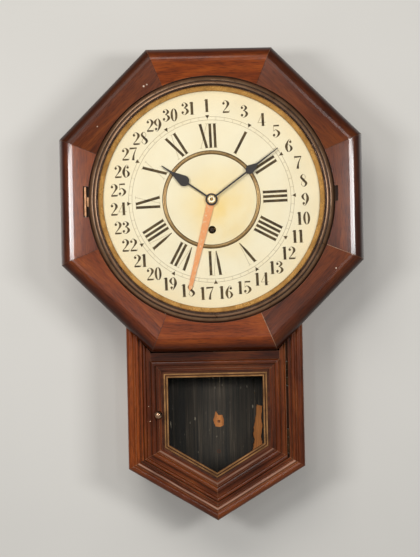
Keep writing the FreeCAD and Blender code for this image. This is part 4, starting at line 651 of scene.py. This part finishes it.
def band_sides(run):
    """The left and right edges of a stroke given as (x, y, width) points."""
    lefts, rights = [], []
    for index, (x, y, width) in enumerate(run):
        ahead, behind = run[min(index + 1, len(run) - 1)], run[max(index - 1, 0)]
        along = Vector((ahead[0] - behind[0], ahead[1] - behind[1])).normalized()
        half = width / 2
        lefts.append((x - along.y * half, y + along.x * half))
        rights.append((x + along.y * half, y - along.x * half))
    return lefts, rights


def loop(x, y, wide, high, thick, thin):
    """A closed oval stroke, thick at its sides and thin at its top and bottom: its two edges."""
    outer, inner = [], []
    for turn in around(28):
        c, s = math.cos(turn), math.sin(turn)
        outer.append((x + c * wide, y + s * high))
        inner.append((x + c * (wide - thick), y + s * (high - thin)))
    return outer, inner


# Strokes of each figure in a cell one unit high: x, y and width at points along the stroke.
FIGURES = {
    "1": [
        [(0.24, 0.0, 0.2), (0.24, 1.0, 0.2)],
        [(0.05, 0.02, 0.04), (0.43, 0.02, 0.04)],
        [(0.20, 0.97, 0.07), (0.09, 0.91, 0.06), (0.06, 0.90, 0.05)],
    ],
    "2": [
        [(0.16, 0.70, 0.14), (0.10, 0.80, 0.07), (0.30, 0.975, 0.05), (0.51, 0.74, 0.19),
         (0.36, 0.42, 0.10), (0.08, 0.10, 0.05)],
        [(0.07, 0.07, 0.13), (0.30, 0.07, 0.14), (0.54, 0.07, 0.12)],
        [(0.56, 0.04, 0.06), (0.61, 0.24, 0.03)],
    ],
    "3": [
        [(0.16, 0.76, 0.14), (0.12, 0.86, 0.06), (0.30, 0.975, 0.05), (0.48, 0.75, 0.17), (0.24, 0.53, 0.04)],
        [(0.24, 0.54, 0.04), (0.40, 0.50, 0.10), (0.52, 0.27, 0.19), (0.28, 0.022, 0.05),
         (0.09, 0.15, 0.07), (0.13, 0.25, 0.14)],
    ],
    "4": [
        [(0.44, 0.0, 0.19), (0.44, 1.0, 0.19)],
        [(0.42, 0.96, 0.05), (0.05, 0.27, 0.05)],
        [(0.03, 0.27, 0.05), (0.66, 0.27, 0.05)],
        [(0.26, 0.02, 0.04), (0.62, 0.02, 0.04)],
    ],
    "5": [
        [(0.12, 0.93, 0.12), (0.55, 0.94, 0.13)],
        [(0.13, 0.96, 0.05), (0.12, 0.50, 0.05)],
        [(0.12, 0.51, 0.05), (0.30, 0.62, 0.07), (0.53, 0.33, 0.19), (0.28, 0.022, 0.05),
         (0.08, 0.15, 0.07), (0.13, 0.25, 0.14)],
    ],
    "6": [
        [(0.47, 0.80, 0.13), (0.50, 0.89, 0.06), (0.36, 0.975, 0.05), (0.14, 0.50, 0.20),
         (0.20, 0.12, 0.12), (0.33, 0.022, 0.05), (0.53, 0.28, 0.18), (0.35, 0.57, 0.05), (0.18, 0.46, 0.04)],
    ],
    "7": [
        [(0.05, 0.92, 0.14), (0.30, 0.92, 0.13), (0.60, 0.94, 0.10)],
        [(0.06, 0.98, 0.05), (0.05, 0.74, 0.04)],
        [(0.58, 0.93, 0.05), (0.36, 0.45, 0.11), (0.28, 0.0, 0.19)],
    ],
    "8": [
        [(0.48, 0.80, 0.05), (0.30, 0.975, 0.05), (0.14, 0.77, 0.16), (0.31, 0.53, 0.17), (0.51, 0.26, 0.18),
         (0.31, 0.022, 0.05), (0.11, 0.22, 0.06)],
        [(0.11, 0.22, 0.05), (0.20, 0.42, 0.05), (0.40, 0.60, 0.05), (0.48, 0.80, 0.05)],
    ],
    "9": [
        [(0.15, 0.20, 0.13), (0.12, 0.11, 0.06), (0.26, 0.025, 0.05), (0.48, 0.50, 0.20),
         (0.42, 0.88, 0.12), (0.29, 0.978, 0.05), (0.09, 0.72, 0.18), (0.27, 0.43, 0.05), (0.44, 0.54, 0.04)],
    ],
    "0": [],
}
# The oval of the 0: middle, half width, half height, and thickness at its sides and ends.
ZERO = (0.31, 0.5, 0.27, 0.5, 0.18, 0.035)
# The round ends of the figures.
BALL_RADIUS = 0.095
BALLS = {
    "2": [(0.16, 0.755)],
    "3": [(0.16, 0.775), (0.14, 0.215)],
    "5": [(0.14, 0.215)],
    "6": [(0.46, 0.79)],
    "9": [(0.16, 0.20)],
}
# Strokes up to this width are hairlines; a stroke is drawn GAIN times as wide, less LOSS.
FINE = 0.05
GAIN, LOSS = 1.2, 0.03
# The day numbers: height, distance from the dial's axis, and how wide a 1 and the other figures set.
DAY_HEIGHT, DAY_RADIUS = 17.4 * MM, 127.0 * MM
NARROW, WIDE = 0.48, 0.62


def on_dial(radius, turn):
    """The x, z of a point on the dial; turn runs clockwise from the top of the print."""
    turned = turn - PRINT_TURN
    return radius * math.sin(turned), DIAL_Z + radius * math.cos(turned)


def draw_figure(bm, figure, place, fine):
    """The hairlines of a figure, or all the rest of it; place turns cell points into x, z on the dial."""
    for stroke in FIGURES[figure]:
        if fine != (max(width for _, _, width in stroke) <= FINE):
            continue
        weighted = [(x, y, GAIN * width - LOSS) for x, y, width in stroke]
        sides = band_sides(curve_through(weighted) if len(stroke) > 2 else weighted)
        strip(bm, *([place(*point) for point in side] for side in sides), INK_FRONT, INK_BACK)
    if fine:
        return
    for x, y in BALLS.get(figure, ()):
        corners = []
        for turn in around(14):
            corners.append(place(x + BALL_RADIUS * math.cos(turn), y + BALL_RADIUS * math.sin(turn)))
        prism(bm, corners, INK_FRONT - 0.01 * MM, INK_BACK)
    if figure == "0":
        edges = [[place(*point) for point in row] for row in loop(*ZERO)]
        strip(bm, *edges, INK_FRONT, INK_BACK, closed=True)


def draw_days(bm, fine):
    """The upright day numbers, 1 to 31, one cell after another round the edge of the dial."""
    lean_c, lean_s = math.cos(PRINT_TURN), math.sin(PRINT_TURN)
    for day, turn in enumerate(around(31), 1):
        middle = on_dial(DAY_RADIUS, turn)
        advances = [NARROW if figure == "1" else WIDE for figure in str(day)]
        left = -sum(advances) / 2
        for figure, advance in zip(str(day), advances):

            def place(x, y, left=left, middle=middle):
                across, up = (left + x) * DAY_HEIGHT, (y - 0.5) * DAY_HEIGHT
                return middle[0] + across * lean_c - up * lean_s, middle[1] + across * lean_s + up * lean_c

            draw_figure(bm, figure, place, fine)
            left += advance


HOURS = ["XII", "I", "II", "III", "IIII", "V", "VI", "VII", "VIII", "IX", "X", "XI"]
HOUR_LOW, HOUR_HIGH = 69.8 * MM, 102.4 * MM
# Widths of thick strokes and hairlines, and how wide each letter sets, in mm.
THICK, HAIR = 3.7, 0.36
ADVANCE = {"I": 6.2, "V": 11.8, "X": 11.8}
# Strokes of each numeral: mm across, share of the height and width at points along the stroke.
STROKES = {
    "I": [[(0, 0, THICK), (0, 1, THICK)]],
    "V": [[(-4.0, 1, THICK), (-1.6, 0.45, THICK), (0.5, 0, 0.9)]],
    "X": [[(-4.2, 1, THICK), (3.6, 0, THICK)]],
}


def serifs(share, *spans):
    """Level hairlines at a share of the height."""
    return [[(left, share, HAIR), (right, share, HAIR)] for left, right in spans]


HAIRLINES = {
    "I": [*serifs(0, (-2.9, 2.9)), *serifs(1, (-2.9, 2.9))],
    "V": [[(4.8, 1, HAIR), (1.0, 0, HAIR)], *serifs(1, (-7.0, -1.0), (3.0, 6.6))],
    "X": [
        [(4.8, 1, HAIR), (-4.4, 0, HAIR)],
        *serifs(1, (-7.2, -1.2), (3.0, 6.6)),
        *serifs(0, (-6.2, -2.6), (0.6, 6.6)),
    ],
}


def draw_hours(bm, strokes):
    """The hour numerals, each upright to the centre with level strokes."""
    height = (HOUR_HIGH - HOUR_LOW) / MM
    for hour, numeral in zip(around(12), HOURS):
        turn = hour - PRINT_TURN
        c, s = math.cos(turn), math.sin(turn)

        def place(across, up):
            reach = HOUR_LOW + up * MM
            return reach * s + across * MM * c, DIAL_Z + reach * c - across * MM * s

        start = -sum(ADVANCE[letter] for letter in numeral) / 2
        for letter in numeral:
            centre = start + ADVANCE[letter] / 2
            start += ADVANCE[letter]
            for stroke in strokes[letter]:
                run = [(centre + x, share * height, width) for x, share, width in stroke]
                sides = [[place(*point) for point in row] for row in band_sides(run)]
                strip(bm, *sides, INK_FRONT, INK_BACK)


# The triangles at the hours: outer and inner radius, and half their width as an angle.
MARK_OUTER, MARK_INNER, MARK_HALF = 114.2 * MM, 109.0 * MM, 0.0240
# The minute track: its two circles, half the width of a circle, and half that of a tick as an angle.
TRACK = (107.5 * MM, 112.0 * MM)
CIRCLE_HALF, TICK_HALF = 0.2 * MM, 0.15 / 110


def draw_marks(bm):
    """The small solid triangles at the hours, pointing inwards."""
    for turn in around(12):
        corners = [on_dial(MARK_OUTER, turn - MARK_HALF), on_dial(MARK_OUTER, turn + MARK_HALF)]
        corners.append(on_dial(MARK_INNER, turn))
        prism(bm, corners, INK_FRONT - 0.02 * MM, INK_BACK)


def draw_track(bm):
    """The two thin circles and the ticks of the minute track."""
    for radius in TRACK:
        edges = (radius - CIRCLE_HALF, radius + CIRCLE_HALF)
        rows = [[on_dial(edge, turn) for turn in around(240)] for edge in edges]
        strip(bm, *rows, INK_FRONT, INK_BACK, closed=True)
    for turn in around(60):
        rows = [[on_dial(radius, turn + side) for radius in TRACK] for side in (-TICK_HALF, TICK_HALF)]
        strip(bm, *rows, INK_FRONT + 0.005 * MM, INK_BACK)


piece("dial_day_numbers", lambda bm: draw_days(bm, False), MATERIALS["ink"], "case")
piece("dial_day_hairlines", lambda bm: draw_days(bm, True), MATERIALS["faded_ink_and_lit_lining"], "case")
piece("dial_hour_numerals", lambda bm: draw_hours(bm, STROKES), MATERIALS["ink"], "case")
piece("dial_hour_hairlines", lambda bm: draw_hours(bm, HAIRLINES), MATERIALS["faded_ink_and_lit_lining"], "case")
piece("dial_hour_marks", draw_marks, MATERIALS["ink"], "case")
piece("dial_minute_track", draw_track, MATERIALS["faded_ink_and_lit_lining"], "case")

# The black lining of the drop, torn along its right side and about the screw hole; outlines are in mm.
BOARD_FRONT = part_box("back_board")[0][1]
SHEET_FRONT, SHEET_BACK, LIP_BACK = 0.3, 0.05, 0.1
LIP_LIFT = (0.3, 1.6)
LINING_SIDE = (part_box("case_side_right")[0][0] - 0.5 * MM) / MM
LINING_TOP, LINING_CORNER, LINING_FOOT = -300.0, -478.5, -534.5
WALL_HOLE = next(mount for mount in frame["record"]["mounts"] if mount["name"] == "wall_screw_hole")
TEAR = [
    (54.5, LINING_TOP), (53.0, -392), (54.6, -402), (56.3, -416), (53.8, -437), (50.4, -456),
    (52.6, -465), (49.3, -478), (46.5, -504),
]
TEAR_FOOT = 46.0
# The bare patch, counted from the screw hole.
PATCH = [
    (-3.9, 15), (-1.0, 9), (4.7, 9), (7.1, 4), (6.7, -5.6), (2.4, -7.8), (-4.4, -7.3), (-6.2, -3.3),
    (-7.6, 2.4), (-5.8, 9), (-3.9, 15),
]
# What is left of the lining at the right of the tear: above it, and along the side of the case.
FLAP = [
    (52.4, LINING_TOP), (52.6, -380), (55.6, -404), (57.4, -415.5), (63.4, -417.5), (66.0, -418),
    (LINING_SIDE, -417),
]
EDGE = [(66.0, -418), (64.6, -436), (66.0, -443), (64.0, -462), (65.2, -470), (67.5, -476)]
EDGE_TOP, EDGE_FOOT = -417.6, -478
# The middle of the ring mark.
RING_X, RING_Z = 3.2, -480.5


def ragged(points, reach, steps=7):
    """A torn line through (x, z) points, in mm."""
    run = []
    for (x0, z0), (x1, z1) in zip(points, points[1:]):
        for step in range(steps):
            share = step / steps
            run.append((x0 + (x1 - x0) * share + CHANCE.uniform(-reach, reach),
                        z0 + (z1 - z0) * share + CHANCE.uniform(-reach, reach) * 0.5))
    run.append(points[-1])
    return run


def paper(bm, outer, holes=()):
    """A thin flat sheet on the back board, outlined in mm."""
    loops = [outer, *holes]
    spots = [spot for run in loops for spot in run]
    near, far = [], []
    for row, depth in ((near, SHEET_FRONT), (far, SHEET_BACK)):
        for x, z in spots:
            row.append(bm.verts.new((x * MM, BOARD_FRONT - depth * MM, z * MM)))
    flat = [[Vector((x, z, 0)) for x, z in run] for run in loops]
    for corners in tessellate_polygon(flat):
        bm.faces.new([near[index] for index in corners])
        bm.faces.new([far[index] for index in reversed(corners)])
    first = 0
    for run in loops:
        for index in range(len(run)):
            one, two = first + index, first + (index + 1) % len(run)
            bm.faces.new((near[one], near[two], far[two], far[one]))
        first += len(run)


def lip(bm, run, side):
    """The torn edge of a sheet along a run of points, curling off the board."""
    rows = [[], [], [], []]
    for x, z in run:
        lift = CHANCE.uniform(*LIP_LIFT)
        section = ((0, SHEET_FRONT), (side, SHEET_FRONT + lift), (side, LIP_BACK + lift), (0, SHEET_BACK))
        for row, (across, depth) in zip(rows, section):
            row.append(bm.verts.new(((x + across) * MM, BOARD_FRONT - depth * MM, z * MM)))
    tube(bm, rows)


def draw_lining(bm):
    """The main sheet with its bare patch, and the two remains at its right, with curled torn edges."""
    slope = (LINING_CORNER - LINING_FOOT) / LINING_SIDE
    tear = ragged(TEAR, 0.6)
    hole_x, hole_z = (WALL_HOLE["pos_m"][axis] / MM for axis in (0, 2))
    patch = ragged([(hole_x + x, hole_z + z) for x, z in PATCH], 0.4, 4)[:-1]
    foot = [(TEAR_FOOT, LINING_FOOT + slope * TEAR_FOOT), (0.0, LINING_FOOT), (-LINING_SIDE, LINING_CORNER)]
    paper(bm, [(-LINING_SIDE, LINING_TOP), *tear, *foot], [patch])
    lip(bm, tear, 1.2)
    flap = ragged(FLAP, 0.5, 5)
    paper(bm, [*flap, (LINING_SIDE, LINING_TOP)])
    edge = ragged(EDGE, 0.4, 5)
    paper(bm, [(LINING_SIDE, EDGE_TOP), *edge, (LINING_SIDE, EDGE_FOOT)])
    lip(bm, edge, -0.8)


piece("drop_lining", draw_lining, MATERIALS["lining"], "case")


def draw_ring_mark(bm):
    """The faint ring pressed into the lining below the screw hole."""
    rows = []
    for radius in (1.7, 2.5):
        points = [(RING_X + radius * math.cos(turn), RING_Z + radius * math.sin(turn)) for turn in around(28)]
        rows.append([(x * MM, z * MM) for x, z in points])
    strip(bm, *rows, BOARD_FRONT - 0.4 * MM, BOARD_FRONT - 0.25 * MM, closed=True)


piece("lining_ring_mark", draw_ring_mark, MATERIALS["slip"], "case")


def on_node(nodes, x, z):
    """The frontmost point, and its direction, of some CAD nodes at x, z in metres."""
    best = None
    for node in nodes:
        found, spot, normal, _ = NODES[node].ray_cast(Vector((x, -0.4, z)), Vector((0, 1, 0)))
        if found and (best is None or spot.y < best[0].y):
            best = (spot.copy(), normal.copy())
    return best


SEAM_WIDTH, SEAM_STEPS = 0.45 * MM, 40
SEAM_LIFT, SEAM_SINK = Vector((0, -0.05 * MM, 0)), Vector((0, 0.3 * MM, 0))
# The mitres whose filler is pale, and the share of the mitre, from its outer end, where it starts and ends.
PALE = {2: (0.25, 1.0), 3: (0.0, 1.0)}


def draw_seam(bm, nodes, angle, shares):
    """A line of filler along a mitre of the head, laid on its surface."""
    outer = HEAD_HALF / math.cos(EIGHTH / 2) - 0.6 * MM
    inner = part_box("bezel_ring")[1][0] + 1.4 * MM
    along = Vector((math.sin(angle), 0, math.cos(angle)))
    across = Vector((math.cos(angle), 0, -math.sin(angle)))
    sections = []
    for step in range(SEAM_STEPS + 1):
        share = shares[0] + (shares[1] - shares[0]) * step / SEAM_STEPS
        spot = along * (outer + (inner - outer) * share) + Vector((0, 0, DIAL_Z))
        half = SEAM_WIDTH / 2 * (0.7 + CHANCE.uniform(0, 0.5))
        sides = [spot + across * side for side in (-half, half)]
        met = [on_node(nodes, side.x, side.z) for side in sides]
        if all(met):
            left, right = (point for point, _ in met)
            corners = (left + SEAM_LIFT, right + SEAM_LIFT, right + SEAM_SINK, left + SEAM_SINK)
            sections.append([bm.verts.new(corner) for corner in corners])
    tube(bm, list(zip(*sections)))


ORDER = list(RAILS)
for number, rail in enumerate(ORDER):
    pair = ["octagon_" + rail, "octagon_" + ORDER[(number + 1) % 8]]
    angle = EIGHTH * (number + 0.5)
    shares = PALE.get(number, (0.0, 1.0))
    finish = MATERIALS["crack" if number in PALE else "seam"]
    piece("mitre_line_%d" % number, lambda bm: draw_seam(bm, pair, angle, shares), finish, "case")

DOME_POINTS, DOME_LEVELS = 14, 4
# Rail, x, z and radius of each filled nail hole, and x, z of each pin in the door, in mm.
FILLED_NAILS = [
    ("upper_left", -88.3, 24.2, 1.3),
    ("upper_left", -84.0, 26.4, 1.0),
    ("upper_left", -151.8, -28.9, 0.8),
    ("lower_right", 165.8, -226.2, 1.0),
    ("lower_left", -65.4, -283.0, 0.9),
]
FILL_RISE = 0.15 * MM
DOOR_PINS = [(-90.7, -409.1), (-90.0, -429.7)]
PIN_RADIUS, PIN_RISE = 1.1 * MM, 0.5 * MM


def draw_dome(bm, node, x, z, radius, rise):
    """A low round head set on a node's surface."""
    spot, normal = on_node([node], x, z)
    turn = Vector((0, 0, 1)).rotation_difference(normal)
    rings = []
    for level in range(DOME_LEVELS):
        angle = math.pi / 2 * level / DOME_LEVELS
        reach, height = radius * math.cos(angle), rise * math.sin(angle)
        ring = []
        for way in around(DOME_POINTS):
            local = Vector((reach * math.cos(way), reach * math.sin(way), height))
            ring.append(bm.verts.new(spot + turn @ local))
        rings.append(ring)
    top = bm.verts.new(spot + normal * rise)
    foot = bm.verts.new(spot - normal * rise)
    for index in range(DOME_POINTS):
        after = (index + 1) % DOME_POINTS
        for low, high in zip(rings, rings[1:]):
            bm.faces.new((low[index], low[after], high[after], high[index]))
        bm.faces.new((rings[-1][index], rings[-1][after], top))
        bm.faces.new((foot, rings[0][after], rings[0][index]))


def draw_filled_nails(bm):
    for rail, x, z, radius in FILLED_NAILS:
        draw_dome(bm, "octagon_" + rail, x * MM, z * MM, radius * MM, FILL_RISE)


def draw_door_pins(bm):
    for x, z in DOOR_PINS:
        draw_dome(bm, "door_stile_left", x * MM, z * MM, PIN_RADIUS, PIN_RISE)


piece("filled_nail_holes", draw_filled_nails, MATERIALS["putty"], "case")
piece("door_pin_heads", draw_door_pins, MATERIALS["knob"], "door")

# The camera looks straight at the clock, which leans slightly to the left in the frame: its distance from the
# point it looks at, its roll, the height of the view there, and its sensor in mm.
LOOK_X, LOOK_Y, LOOK_Z = -0.0043, -0.106, DIAL_Z - 0.1068
REACH = 2.2
ROLL = math.radians(1.2)
FRAME_HEIGHT = 0.7526
SENSOR = 36

camera_data = bpy.data.cameras.new("photo_camera")
camera = bpy.data.objects.new("photo_camera", camera_data)
SCENE.collection.objects.link(camera)
SCENE.camera = camera
SCENE.view_settings.view_transform = "Standard"
camera_data.sensor_width = SENSOR
camera_data.lens = SENSOR * REACH / FRAME_HEIGHT
camera.location = (LOOK_X, LOOK_Y - REACH, LOOK_Z)
camera.rotation_euler = (math.pi / 2, ROLL, 0)


def lamp(name, place, target, size, power, colour=(1, 1, 1), roll=0.0):
    """A flat soft lamp facing a target, turned about its own line of sight."""
    data = bpy.data.lights.new(name, "AREA")
    data.shape = "RECTANGLE"
    data.size, data.size_y = size
    data.energy = power
    data.color = colour
    made = bpy.data.objects.new(name, data)
    made.location = place
    facing = (Vector(target) - Vector(place)).to_track_quat("-Z", "Y")
    made.rotation_euler = (facing @ Quaternion((0, 0, 1), roll)).to_euler()
    SCENE.collection.objects.link(made)


CLOCK_MIDDLE = (0, 0, -0.25)
lamp("key_lamp", (-0.55, -1.8, 1.0), (0, 0, -0.2), (1.3, 0.9), 19, (1.0, 0.97, 0.93))
lamp("crest_strip", (0.27, -2.25, 0.243), (0.13, -0.1, 0.0), (0.34, 0.05), 0.7, roll=-EIGHTH)
for side, name, crest in ((-1, "left", 0.376), (1, "right", 0.388)):
    rail_crest = (side * 0.18, -0.1, -0.14)
    lamp(name + "_strip", (side * crest, -2.25, -0.03), rail_crest, (0.058, 0.32), 1.9)
    lamp(name + "_panel", (side * 0.9, -1.6, -0.06), rail_crest, (0.54, 0.24), 10.8)
    lamp(name + "_side", (side * 1.6, 1.0, 0.3), CLOCK_MIDDLE, (0.6, 0.9), 7)
    lamp(name + "_back", (side * 0.9, 1.6, 0.5), CLOCK_MIDDLE, (0.9, 0.9), 9)

world = bpy.data.worlds.new("studio")
SCENE.world = world
world.use_nodes = True
background = world.node_tree.nodes["Background"].inputs
background["Color"].default_value = (1.0, 0.99, 0.97, 1)
background["Strength"].default_value = 0.2

# The stage, in metres: the wall just behind the clock, the sweep at its foot, and how far it all reaches.
WALL, SWEEP, SWEEP_STEPS = 3 * MM, 0.22, 12
STAGE_FRONT, STAGE_TOP, STAGE_HALF = -3.2, 2.0, 2.6


def backdrop():
    """A pale floor that sweeps up into the wall behind the clock; it is open seen from behind."""
    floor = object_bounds()[0][2] - 0.30
    profile = [(STAGE_FRONT, floor)]
    for step in range(SWEEP_STEPS + 1):
        turn = math.pi / 2 * step / SWEEP_STEPS
        profile.append((WALL - SWEEP + SWEEP * math.sin(turn), floor + SWEEP - SWEEP * math.cos(turn)))
    profile.append((WALL, STAGE_TOP))
    mesh = bpy.data.meshes.new("backdrop")
    bm = bmesh.new()
    rows = [[bm.verts.new((x, y, z)) for y, z in profile] for x in (-STAGE_HALF, STAGE_HALF)]
    for index in range(len(profile) - 1):
        bm.faces.new((rows[0][index], rows[1][index], rows[1][index + 1], rows[0][index + 1]))
    bm.to_mesh(mesh)
    bm.free()
    for face in mesh.polygons:
        face.use_smooth = True
    made = bpy.data.objects.new("backdrop", mesh)
    SCENE.collection.objects.link(made)
    made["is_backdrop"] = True
    finish = Finish("backdrop_paper", Specular_IOR_Level=0.1)
    clouds = finish.noise(finish.place((2, 2, 2)), detail=3)
    colour = finish.ramp(clouds, (0.3, tone(200, 198, 193)), (0.7, tone(208, 206, 201)))
    finish.feed(Base_Color=colour, Roughness=finish.ramp(clouds, (0.3, 0.85), (0.7, 0.95)))
    path = finish.node("ShaderNodeLightPath").outputs
    seen = finish.sums("ADD", path["Is Camera Ray"], path["Is Glossy Ray"])
    seen = finish.sums("ADD", seen, path["Is Transmission Ray"])
    back = finish.node("ShaderNodeNewGeometry").outputs["Backfacing"]
    shown = finish.sums("SUBTRACT", seen, back)
    clear = finish.node("ShaderNodeBsdfTransparent").outputs[0]
    both = finish.node("ShaderNodeMixShader", {0: shown, 1: clear, 2: finish.shader.outputs[0]}).outputs[0]
    finish.tree.links.new(both, finish.tree.nodes["Material Output"].inputs["Surface"])
    mesh.materials.append(finish.material)


backdrop()
